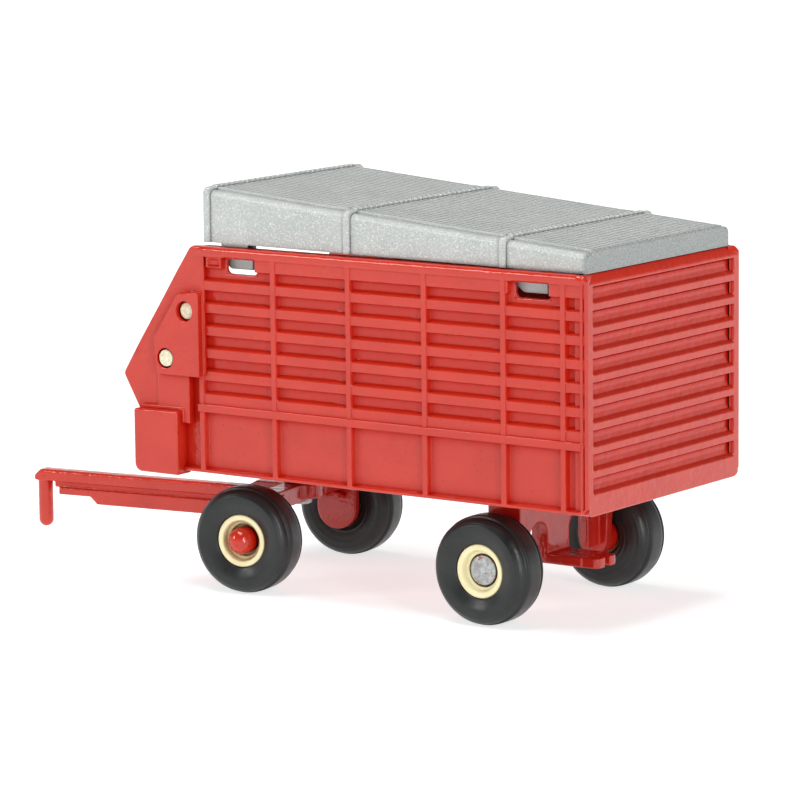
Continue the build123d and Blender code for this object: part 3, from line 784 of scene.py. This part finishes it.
def window_gap(x, z):
    """Signed distance from the nearest window's rounded outline, negative inside."""
    nearest = np.full(np.broadcast(x, z).shape, 99.0)
    for low, high in WINDOWS:
        middle = (low + high) / 2
        away_x = np.abs(x - middle) - (high - low) / 2 + WINDOW_ROUND
        away_z = (WINDOW_FOOT + WINDOW_ROUND) - z
        corner = np.hypot(np.maximum(away_x, 0), np.maximum(away_z, 0)) - WINDOW_ROUND
        inside = np.minimum(np.maximum(away_x, away_z), 0)
        gap = np.maximum(corner + inside, z - TOP_RAIL)
        nearest = np.minimum(nearest, gap)
    return nearest


def snap_to_window(x, z):
    """The nearest point of a window's lower rounded corner, for a grid point beside it."""
    for low, high in WINDOWS:
        for edge, turn in ((low, 1), (high, -1)):
            centre_x = edge + turn * WINDOW_ROUND
            centre_z = WINDOW_FOOT + WINDOW_ROUND
            dx, dz = x - centre_x, z - centre_z
            if dx * turn < 0.02 and dz < 0.02 and abs(dx) < 1.2 and abs(dz) < 1.2:
                reach = math.hypot(dx, dz)
                if reach > 0.01:
                    return centre_x + dx * WINDOW_ROUND / reach, centre_z + dz * WINDOW_ROUND / reach
    return x, z


def side_wall_mesh(name, side):
    """Outer relief of one side wall with its wing, closed at the back; side is 1 for left, -1 for right."""
    x_edges = [(edge, POST_FLANK) for rear in POST_REAR_EDGES for edge in (rear, rear + POST_WIDTH)]
    x_edges += [(CORNER_WIDTH, 0.15), (1.35, 0.15), (0.8, 0.3), (0.52, 0.2), RAIL_NARROWS, BELT_FRONT]
    for low, high in WINDOWS:
        x_edges += [(low, 0.01), (high, 0.01), (low + 0.35, 0.34), (high - 0.35, 0.34), (low - 0.2, 0.18)]
        x_edges += [(high + 0.12, 0.12), (high + 0.65, 0.12)]
    x_edges += [(edge, 0.12) for edge in BLOCK] + [(edge, 0.14) for edge in POCKET_X]
    x_edges += [(rear - 0.4, 0.4) for rear in POST_REAR_EDGES]
    z_edges = [(bottom, LOW_FLANK) for bottom in slat_bottoms()]
    z_edges += [(bottom + SLAT_HEIGHT, TOP_FLANK) for bottom in slat_bottoms()]
    z_edges += [(TOP_SLAT, LOW_FLANK), (TOP_RAIL, LOW_FLANK), (FOOT_BAND, 0.15), (25.73, 0.5)]
    z_edges += [(edge, 0.14) for edge in BELT + POCKET_Z]
    z_edges += [(BLOCK_FOOT, 0.12), (WINDOW_FOOT, 0.01), (46.9, 0.35)]
    z_edges += [(WINDOW_FOOT + 0.35, 0.34), (WINDOW_FOOT - 0.2, 0.18), (WING_FOOT, 0.1)]
    xs = grid_lines(x_edges, CORNER_ROUND, LOW_SHEET_FRONT, 1.6)
    xs = np.sort(np.append(xs, WING_JOIN))
    zs = grid_lines(z_edges, WALL_FOOT + 0.2, WALL_TOP - EDGE_ROUND, 1.6)
    x, z = np.meshgrid(xs, zs, indexing="ij")
    y = SHEET_Y + side_height(x, z)
    x_flat, z_flat = x.copy(), z.copy()
    centre_x = (x_flat[:-1, :-1] + x_flat[1:, 1:]) / 2
    centre_z = (z_flat[:-1, :-1] + z_flat[1:, 1:]) / 2
    keep = window_gap(centre_x, centre_z) > 0
    low_zone = (centre_z < WING_FOOT + 0.1) & (centre_x < LOW_SHEET_FRONT)
    keep &= (centre_x < WING_JOIN) | low_zone
    near = np.zeros(x.shape, bool)
    for di in (0, 1):
        for dj in (0, 1):
            near[di : di + keep.shape[0], dj : dj + keep.shape[1]] |= window_gap(centre_x, centre_z) <= 0
    for i, j in np.argwhere(near):
        x[i, j], z[i, j] = snap_to_window(x[i, j], z[i, j])

    # the top edge rounds over, the foot rounds under
    over, under = [], []
    for away, along in quarter(15, 30, 45, 60, 75, 90):
        over.append(np.stack((x[:, -1], y[:, -1] - EDGE_ROUND * away, z[:, -1] + EDGE_ROUND * along), 1))
        under.append(np.stack((x[:, 0], y[:, 0] - FOOT_ROUND * away, z[:, 0] - FOOT_ROUND * along), 1))
    face = np.stack((x, y, z), 2)
    face = np.concatenate((np.stack(under[::-1], 1), face, np.stack(over, 1)), 1)
    extra = np.repeat(keep[:, :1], len(under), 1)
    extra_top = np.repeat(keep[:, -1:], len(over), 1)
    keep = np.concatenate((extra, keep, extra_top), 1)

    # the rear corner turns round onto the rear face
    wraps = []
    for away, along in quarter(90, 72, 54, 36, 18):
        column = face[0].copy()
        column[:, 0] = CORNER_ROUND * (1 - along)
        column[:, 1] -= CORNER_ROUND * away
        wraps.append(column)
    last = wraps[0].copy()
    last[:, 1] = np.minimum(REAR_SEAM, last[:, 1])
    face = np.concatenate((np.stack([last] + wraps, 0), face), 0)
    keep = np.concatenate((np.repeat(keep[:1], 6, 0), keep), 0)

    # above the rear edge the corner leans forward with the rear wall's top slope, and the foot is rounded up
    lean = np.clip(face[..., 2] - SLOPE_FOOT - 0.35, 0, None) * SLOPE * np.clip(1 - face[..., 0] / 2.5, 0, 1)
    face[..., 0] += lean
    low_share = np.clip(1 - (face[..., 2] - WALL_FOOT) / 3, 0, 1)
    face[..., 2] += FOOT_LIFT * np.clip(1 - face[..., 0] / 1.6, 0, 1) ** 2 * low_share

    back = face.copy()
    back[..., 1] = np.where(face[..., 0] < WING_BACK_START, WALL_LOW[1], WALL_LOW[1] + WING_BACK_STEP)
    for low, high in WINDOWS:
        thin = np.abs(face[..., 0] - (low + high) / 2) < (high - low) / 2 + WINDOW_MARGIN
        half_height = (TOP_RAIL - WINDOW_FOOT) / 2 + WINDOW_MARGIN
        thin &= np.abs(face[..., 2] - (WINDOW_FOOT + TOP_RAIL) / 2) < half_height
        back[..., 1] = np.where(thin, SHEET_Y - WINDOW_SHEET, back[..., 1])
    back[:7, :, 0] = np.maximum(back[:7, :, 0], 0.6)
    face[..., 0] += REAR_X
    back[..., 0] += REAR_X
    face[..., 1] *= side
    back[..., 1] *= side
    points, faces = relief(face, keep, back)
    panel = mesh_from(name + "_panel", points, faces)

    corners = [
        (62.0, WALL_TOP - 0.02), (64.25, WALL_TOP - 0.02), (66.6, 44.5), (70.0, 39.3), (73.35, 34.3),
        (76.35, 29.55), (73.7, 24.9), (73.0, 23.4), (64.7, 23.4), (64.7, WING_FOOT), (62.0, WING_FOOT),
    ]
    radii = (0.02, 1.1, 6.0, 20.0, 20.0, 0.9, 0.6, 0.3, 0.1, 0.1, 0.02)
    bores = [(c.x, c.z, BORE, 0.01) for c in (UPPER_BEATER, LOWER_BEATER)]
    wing = plate(name + "_wing", corners, radii, wing_rings(), side, bores)
    return join(name, [panel, wing])


def wing_rings():
    """Rings for the wing: both edges rounded."""
    inner, outer, radius = WALL_LOW[1] + 0.55, SHEET_Y + POST - 0.006, 0.28
    rings = []
    for away, along in quarter(90, 60, 30, 0):
        rings.append((-radius * away, inner + radius * (1 - along)))
    for away, along in quarter(0, 20, 40, 60, 75, 90):
        rings.append((-radius * away, outer - radius * (1 - along)))
    rings.append((-radius - 0.07, outer))
    return rings


for side_name, side in SIDES:
    wall = side_wall_mesh("%s_side_wall_cast" % side_name, side)
    new_piece("%s_side_wall_cast" % side_name, wall, "box", "%s_side_wall" % side_name, "red_paint")

# ---- rear wall

GROOVE_TOP = 46.45
GROOVE_COUNT = 9
GROOVE_FLAT = 0.95
GROOVE_HEIGHT = 2.26
GROOVE_DEPTH = 0.75
GROOVE_END = 17.42
TOP_SLOPE_STEPS = (
    (0.02, -0.08), (0.07, 0.04), (0.17, 0.17), (0.5, 0.55), (0.8, 0.9), (0.93, 1.03), (1.1, 1.1), (1.4, 1.12),
)


def rear_depth(y, z):
    """Depth of the grooves below the rear face."""
    depth = np.zeros(np.broadcast(y, z).shape)
    for index in range(GROOVE_COUNT):
        fall = GROOVE_TOP - index * SLAT_PITCH - z
        share = np.clip((fall - GROOVE_FLAT) / (GROOVE_HEIGHT - GROOVE_FLAT), 0, 1)
        slope = np.interp(share, (0, 0.12, 0.5, 0.58, 0.9, 1), (1, 0.97, 0.76, 0.70, 0.09, 0))
        profile = GROOVE_DEPTH * np.clip(fall / 0.08, 0, 1) ** 0.5 * slope
        profile = profile + 0.14 * np.exp(-(((fall - 0.16) / 0.1) ** 2)) * (fall > 0)
        depth = np.maximum(depth, np.where((fall > 0) & (fall < GROOVE_HEIGHT), profile, 0))
    ends = 1 - rise(np.abs(y), GROOVE_END, 0.15)
    return depth * ends


def rear_wall_mesh():
    """Rear wall: grooves, a sloping top edge and rounded lower corners."""
    half = REAR_SEAM
    y_edges = [(turn * edge, soft) for turn in (-1, 1) for edge, soft in ((GROOVE_END, 0.15), (17.95, 0.3))]
    y_edges += [(-half, 0.05), (half, 0.05)]
    z_edges = []
    for index in range(GROOVE_COUNT):
        top = GROOVE_TOP - index * SLAT_PITCH
        z_edges += [(top - 0.04, 0.05), (top - 0.17, 0.13), (top - GROOVE_FLAT - 0.1, 0.12)]
        z_edges += [(top - 1.62, 0.14), (top - GROOVE_HEIGHT + 0.08, 0.14)]
    ys = grid_lines(y_edges, -half, half, 2.4)
    zs = grid_lines(z_edges, REAR_LOW[2] + 0.2, SLOPE_FOOT - 0.2, 1.2)
    y, z = np.meshgrid(ys, zs, indexing="ij")
    face = np.stack((rear_depth(y, z), y, z), 2)
    rows_under = []
    for away, along in quarter(90, 72, 54, 36, 18):
        row = face[:, 0].copy()
        row[:, 0] += FOOT_ROUND * away
        row[:, 2] -= FOOT_ROUND * along
        rows_under.append(row)
    rows_over = []
    for depth, height in TOP_SLOPE_STEPS:
        row = face[:, -1].copy()
        row[:, 0] = depth
        row[:, 2] = np.minimum(SLOPE_FOOT + height, WALL_TOP)
        rows_over.append(row)
    face = np.concatenate((np.stack(rows_under, 1), face, np.stack(rows_over, 1)), 1)
    keep = np.ones((face.shape[0] - 1, face.shape[1] - 1), bool)
    edge = np.clip((np.abs(face[..., 1]) - 17.6) / 1.45, 0, 1)
    lift = 0.25 * np.clip(1 - (face[..., 2] - REAR_LOW[2]) / 2, 0, 1) * edge
    lift += FOOT_LIFT * edge**3 * np.clip(1 - (face[..., 2] - REAR_LOW[2]) / 3, 0, 1)
    face[..., 2] += lift
    back = face.copy()
    back[..., 0] = REAR_HIGH[0] - REAR_LOW[0]
    face[..., 0] += REAR_X
    back[..., 0] += REAR_X
    points, faces = relief(face, keep, back)
    return mesh_from("rear_wall_cast", points, faces)


new_piece("rear_wall_cast", rear_wall_mesh(), "box", "rear_wall", "red_paint")

# ---- drive covers and conveyor housings


COVER_HOLE = 1.4
COVER_CORNERS = ((62.3, 30.05), (62.3, 41.75), (65.9, 41.35), (70.15, 34.9), (69.6, 30.05))
COVER_RADII = (0.25, 0.45, 0.7, 0.6, 0.3)


def cover_mesh(name, side):
    """Drive cover with the two shaft holes."""
    holes = [(c.x, c.z, COVER_HOLE, 0.06) for c in (UPPER_BEATER, LOWER_BEATER)]
    rings = soft_rings(SHEET_Y + POST, COVER_OUT, 0.14, 0.16, 0.02)
    return plate(name, COVER_CORNERS, COVER_RADII, rings, side, holes)


HOUSING_CORNERS = ((66.0, 16.2), (66.0, 25.1), (73.6, 25.0), (73.6, 16.2))
HOUSING_RADII = (0.25, 0.4, 0.4, 1.2)
SHOULDER_CORNERS = ((65.45, 23.4), (65.45, 25.65), (73.0, 25.6), (73.0, 23.4))
LOWER_PLATE_CORNERS = ((64.6, 23.4), (64.6, 30.15), (70.1, 30.15), (70.1, 23.4))
LOWER_PLATE_OUT = 19.35


def housing_mesh(name, side):
    """Conveyor housing, its shoulder flange and the plate above it."""
    parts = []
    for corners, radii, low, high, edge_round in (
        (HOUSING_CORNERS, HOUSING_RADII, SHEET_Y - 0.7, HOUSING_OUT, 0.3),
        (SHOULDER_CORNERS, (0.1, 0.5, 0.4, 0.1), SHEET_Y, LOWER_PLATE_OUT + 0.1, 0.25),
        (LOWER_PLATE_CORNERS, (0.1, 0.1, 0.1, 0.1), SHEET_Y, LOWER_PLATE_OUT, 0.2),
    ):
        parts.append(plate(name, corners, radii, soft_rings(low, high, edge_round), side))
    return join(name, parts)


for side_name, side in SIDES:
    name = "%s_drive_cover_cast" % side_name
    new_piece(name, cover_mesh(name, side), "box", "%s_drive_cover" % side_name, "red_paint")
    name = "%s_conveyor_housing_cast" % side_name
    new_piece(name, housing_mesh(name, side), "box", "%s_conveyor_housing" % side_name, "red_paint")

# ---- roof

ROOF_HALF = 17.75
ROOF_SKIRT = ROOF_LOW[2]
SKIRT_RISE = 0.48
APRONS = ((6.6, 11.1), (54.4, 58.9))
ROOF_WALL = 0.95
ROOF_ROUND = 0.75
ROOF_LENGTH = ROOF_HIGH[0] - ROOF_LOW[0]
BOW = 0.43
ROOF_TOP_REAR = 50.6
ROOF_TOP_FRONT = ROOF_HIGH[2] - BOW - 0.2
BOWS = ((60.65, 61.85), (37.2, 38.4), (12.2, 13.4))
RIDGES = 28
RIDGE_HALF = 16.2
RIDGE_HEIGHT = 0.34
END_ROUND = 0.3
SKIRT_SHARES = (0, 0.06, 0.3, 0.6, 0.94, 1)
RIDGE_SHARES = (0.93, 0.86, 0.55, 0.28, 0.14, 0)


def roof_top(x):
    """Height of the roof's top above the ground at x from its rear face."""
    return ROOF_TOP_REAR + (ROOF_TOP_FRONT - ROOF_TOP_REAR) * x / ROOF_LENGTH


def roof_foot(x):
    """Height of the roof's lower edge at x: it rises toward the front, less so over the tabs."""
    drop = max(float(band(x, low, high, 0.12, 0.06)) for low, high in APRONS)
    return ROOF_SKIRT + SKIRT_RISE * x / ROOF_LENGTH * (1 - 0.97 * drop)


def ridge(y):
    """Height of the corrugation at y: steep on one flank, gentle on the other."""
    share = (y + RIDGE_HALF) / (2 * RIDGE_HALF) * RIDGES
    part = share - np.floor(share)
    wave = np.clip(np.minimum(part / 0.28, (1 - part) / 0.14), 0, 1) ** 0.7
    return RIDGE_HEIGHT * wave * band(y, -RIDGE_HALF, RIDGE_HALF, 0.1, 0.1)


def roof_section(x, inset, bow, end, fine):
    """A cross section of the roof at x: (y, z) points from the left foot over the top to the right foot."""
    half = ROOF_HALF - inset - end + bow
    top = roof_top(x) - inset - end + bow
    radius = ROOF_ROUND if not inset else 0.3
    foot = roof_foot(x)
    points = [(half, foot + (top - radius - foot) * share) for share in SKIRT_SHARES]
    for away, along in quarter(15, 30, 45, 60, 75, 90):
        points.append((half - radius * away, top - radius * (1 - along)))
    marks = [RIDGE_HALF + 0.1]
    if fine:
        for index in range(RIDGES, -1, -1):
            start = -RIDGE_HALF + index * 2 * RIDGE_HALF / RIDGES
            width = 2 * RIDGE_HALF / RIDGES
            shares = RIDGE_SHARES if index < RIDGES else (0,)
            marks += [start + width * share for share in shares]
    else:
        marks += [8.0, 0.0, -8.0]
    marks.append(-RIDGE_HALF - 0.1)
    full = 0.0
    if fine:
        full = 0.55 if bow > 0.2 else 1.0
    flat = [(y, top + float(ridge(np.array(y))) * full) for y in marks]
    other = [(-y, z) for y, z in points]
    return points + flat + other[::-1]


def roof_mesh():
    """Roof shell with bows, corrugations, closed ends and a hollow underside."""
    edges = [((low + high) / 2, (high - low) / 2 / 1.35) for low, high in BOWS]
    edges += [(edge, 0.05) for low, high in BOWS for edge in (low + 0.06, high - 0.06)] + [(0.15, 0.15)]
    edges += [(edge, 0.1) for span in APRONS for edge in span]
    xs = grid_lines(edges, 0.0, ROOF_LENGTH, 3.0)
    outer = []
    for x in xs:
        bow = 0.0
        for low, high in BOWS:
            share = min(1.0, abs(x - (low + high) / 2) / ((high - low) / 2))
            bow = max(bow, BOW * (1 - share**2.6) ** 0.5)
        reach = min(x, ROOF_LENGTH - x)
        end = END_ROUND - math.sqrt(max(0, END_ROUND**2 - max(0, END_ROUND - reach) ** 2))
        end = min(end, END_ROUND) if reach < END_ROUND else 0
        outer.append([(x + ROOF_LOW[0], y, z) for y, z in roof_section(x, 0, bow, end, True)])
    inner_xs = [ROOF_WALL, ROOF_LENGTH / 2, ROOF_LENGTH - ROOF_WALL]
    inner = [[(x + ROOF_LOW[0], y, z) for y, z in roof_section(x, ROOF_WALL, 0, 0, False)] for x in inner_xs]
    points, faces = [], []

    def skin(rows):
        base = len(points)
        width = len(rows[0])
        for row in rows:
            points.extend(row)
        for i in range(len(rows) - 1):
            for j in range(width - 1):
                a = base + i * width + j
                faces.append((a, a + 1, a + width + 1, a + width))
        for row_index in (0, len(rows) - 1):
            row = rows[row_index]
            feet = len(points)
            points.extend((x, y, roof_foot(x - ROOF_LOW[0])) for x, y, z in row)
            for j in range(width - 1):
                a = base + row_index * width + j
                faces.append((a, a + 1, feet + j + 1, feet + j))

    def foot_rim(marks, y0, y1):
        for x0, x1 in zip(marks, marks[1:]):
            start = len(points)
            for x, y in ((x0, y0), (x1, y0), (x1, y1), (x0, y1)):
                points.append((x + ROOF_LOW[0], y, roof_foot(x)))
            faces.append((start, start + 1, start + 2, start + 3))

    skin(outer)
    skin(inner)
    in_y = ROOF_HALF - ROOF_WALL
    foot_rim(xs, in_y, ROOF_HALF)
    foot_rim(xs, -ROOF_HALF, -in_y)
    foot_rim((0, ROOF_WALL), -in_y, in_y)
    foot_rim((ROOF_LENGTH - ROOF_WALL, ROOF_LENGTH), -in_y, in_y)
    return mesh_from("roof_moulding", points, faces)


new_piece("roof_moulding", roof_mesh(), "roof", "roof_shell", "roof_plastic", 32.0)

# ---- wheels and axle ends

TYRE_RADIUS = REAR_LEFT.z
TYRE_HALF = 3.09
RIM_RADIUS = 3.67
RIM_LIP = 2.34
RIM_BACK = -1.5
TYRE_BORE = 2.5
BOSS_END = 13.3
STUB_RADIUS = 1.45
END_FACE = 15.5
DOME_START = 17.2
DOME_RADIUS = 1.86
WHEEL_MIDDLE = 15.06


def tread(offset):
    """Radius of the tyre at a distance from its middle plane."""
    return TYRE_RADIUS - 1.16 * abs(offset / TYRE_HALF) ** 3.9


def tyre_profile():
    """Outboard half of the tyre: bead, bulged side, ring line, shoulder, groove and crown."""
    half = [(RIM_LIP - 0.25, RIM_RADIUS), (RIM_LIP + 0.02, RIM_RADIUS + 0.03)]
    half.append((RIM_LIP + 0.1, RIM_RADIUS + 0.14))
    for share in (0.12, 0.3, 0.5, 0.7, 0.85, 1.0):
        half.append((2.5 + (TYRE_HALF - 2.5) * math.sin(share * math.pi / 2), 4.0 + 1.75 * share))
    half += [(TYRE_HALF, 6.05), (TYRE_HALF - 0.01, tread(TYRE_HALF))]
    for offset in (3.03, 2.97):
        half.append((offset, tread(offset)))
    half += [(2.94, tread(2.94) - 0.05), (2.9, tread(2.9) - 0.06), (2.86, tread(2.86) - 0.03)]
    for offset in (2.8, 2.6, 2.4, 2.2, 2.13):
        half.append((offset, tread(offset)))
    half += [(2.08, tread(2.08) - 0.05), (2.02, tread(2.0) - 0.2), (1.95, tread(2.0) - 0.33)]
    half += [(1.82, tread(1.8) - 0.37), (1.66, tread(1.7) - 0.37), (1.54, tread(1.5) - 0.33)]
    half += [(1.47, tread(1.5) - 0.2), (1.42, tread(1.42) - 0.05)]
    half += [(1.36, tread(1.36)), (1.0, tread(1.0)), (0.5, tread(0.5)), (0.0, tread(0.0))]
    return half


def tyre_mesh(name):
    """The whole tyre."""
    half = tyre_profile()
    inner = [(-a, r) for a, r in reversed(half[5:-1])]
    inner += [(-2.86, 4.05), (-2.8, 3.95), (-2.84, 3.82), (-2.8, 3.7), (-2.55, 3.3), (-2.5, 3.2)]
    inner += [(-2.52, 3.1), (-2.3, 2.7), (-2.22, 2.56), (-2.1, TYRE_BORE)]
    inner += [(RIM_BACK, TYRE_BORE), (RIM_BACK, RIM_RADIUS)]
    return lathe(name, half + inner, 128)


def rim_mesh(name):
    """Dished rim with a rounded lip."""
    corners = [
        (RIM_LIP, RIM_RADIUS), (RIM_LIP, 2.86), (1.5, 2.62), (1.39, 2.25), (0.34, 2.25), (0.34, 1.5),
        (RIM_BACK, 1.5), (RIM_BACK, RIM_RADIUS),
    ]
    radii = (0.28, 0.3, 0.2, 0.12, 0.05, 0.05, 0.05, 0.05)
    return lathe(name, rounded_profile(corners, radii, 5), 96)


def stub_profile():
    """The stub that a wheel turns on, from the casting's boss to the axle end's face."""
    return [(BOSS_END, 0.0), (BOSS_END, STUB_RADIUS), (END_FACE, STUB_RADIUS)]


def peened_mesh(name):
    """Flat peened axle end with rings struck into it."""
    profile = stub_profile() + [(END_FACE, 1.9), (15.7, 2.04), (16.3, 2.06)]
    profile += [(16.48, 2.0), (16.56, 1.88), (16.52, 1.7), (16.55, 1.5), (16.5, 1.32), (16.54, 1.12)]
    profile += [(16.5, 0.95), (16.53, 0.75), (16.47, 0.55), (16.5, 0.32), (16.44, 0.15), (16.46, 0.0)]
    mesh = lathe(name, profile, 72)
    for vertex in mesh.vertices:
        if vertex.co.y > 16.3 * MM:
            at = vertex.co / MM
            vertex.co.y += MM * 0.1 * noise.noise(Vector((at.x * 1.7, at.z * 1.7, 3.1)))
            vertex.co.x += MM * 0.05 * noise.noise(Vector((at.x * 1.1, at.z * 1.1, 7.7)))
    return mesh


def dome_mesh(name):
    """Painted dome on the axle end."""
    profile = stub_profile() + [(END_FACE, 1.7), (15.62, 1.84)]
    profile += [(16.2, DOME_RADIUS), (DOME_START, DOME_RADIUS)]
    for angle in range(6, 91, 6):
        t = math.radians(angle)
        radius = DOME_RADIUS * math.cos(t) if angle < 90 else 0.0
        profile.append((DOME_START + DOME_RADIUS * math.sin(t), radius))
    return lathe(name, profile, 72)


AXLES = (
    ("front", Vector((PIVOT.x, PIVOT.y, 0)), STEER, "front_axle"),
    ("rear", Vector((REAR_LEFT.x, 0, 0)), 0.0, "box"),
)
for axle, middle, steer, body in AXLES:
    for side_name, half_turn in (("left", 0.0), ("right", math.pi)):
        corner = "%s_%s" % (axle, side_name)
        wheel = "%s_wheel" % corner
        centre = middle + Vector((0, 0, TYRE_RADIUS))
        hub = centre + Matrix.Rotation(steer + half_turn, 3, "Z") @ Vector((0, WHEEL_MIDDLE, 0))
        tyre = placed(tyre_mesh(corner + "_tyre_moulded"), hub, steer + half_turn)
        new_piece(corner + "_tyre_moulded", tyre, wheel, corner + "_tyre", "tyre_rubber", 60.0)
        rim = placed(rim_mesh(corner + "_rim_dished"), hub, steer + half_turn)
        new_piece(corner + "_rim_dished", rim, wheel, corner + "_rim", "rim_plastic", 60.0)
        if axle == "front":
            end = placed(dome_mesh(corner + "_dome"), centre, steer + half_turn)
            new_piece(corner + "_dome", end, body, corner + "_axle_end", "red_paint", 60.0)
        else:
            end = placed(peened_mesh(corner + "_peened_end"), centre, steer + half_turn)
            new_piece(corner + "_peened_end", end, body, corner + "_axle_end", "bare_zinc", 60.0)

# ---- painted castings under the box

CASTINGS = (
    ("front_axle_casting", "front_axle", 0.13, 5),
    ("drawbar", "front_axle", 0.12, 5),
    ("rear_axle_casting", "box", 0.13, 5),
    ("box_floor", "box", 0.25, 2),
    ("cross_conveyor_trough", "box", 0.2, 2),
    ("kingpin_rivet", "box", 0.1, 4),
    ("upper_beater", "upper_beater_rotor", 0.14, 2),
    ("lower_beater", "lower_beater_rotor", 0.14, 2),
    ("roof_snap_tabs", "roof", 0.1, 2),
)
for node, body, voxel, rounds in CASTINGS:
    name = node + "_skin"
    # the axle castings take the darker red enamel, as painted shade under the box
    look = SHADED_UNDERSIDE_RED if node.endswith("axle_casting") else None
    new_piece(name, cast_skin(node, voxel, rounds, name), body, node, NODE_SLOT[node], 60.0, look)


bpy.context.scene.view_settings.view_transform = "Standard"
bpy.context.scene.view_settings.look = "None"
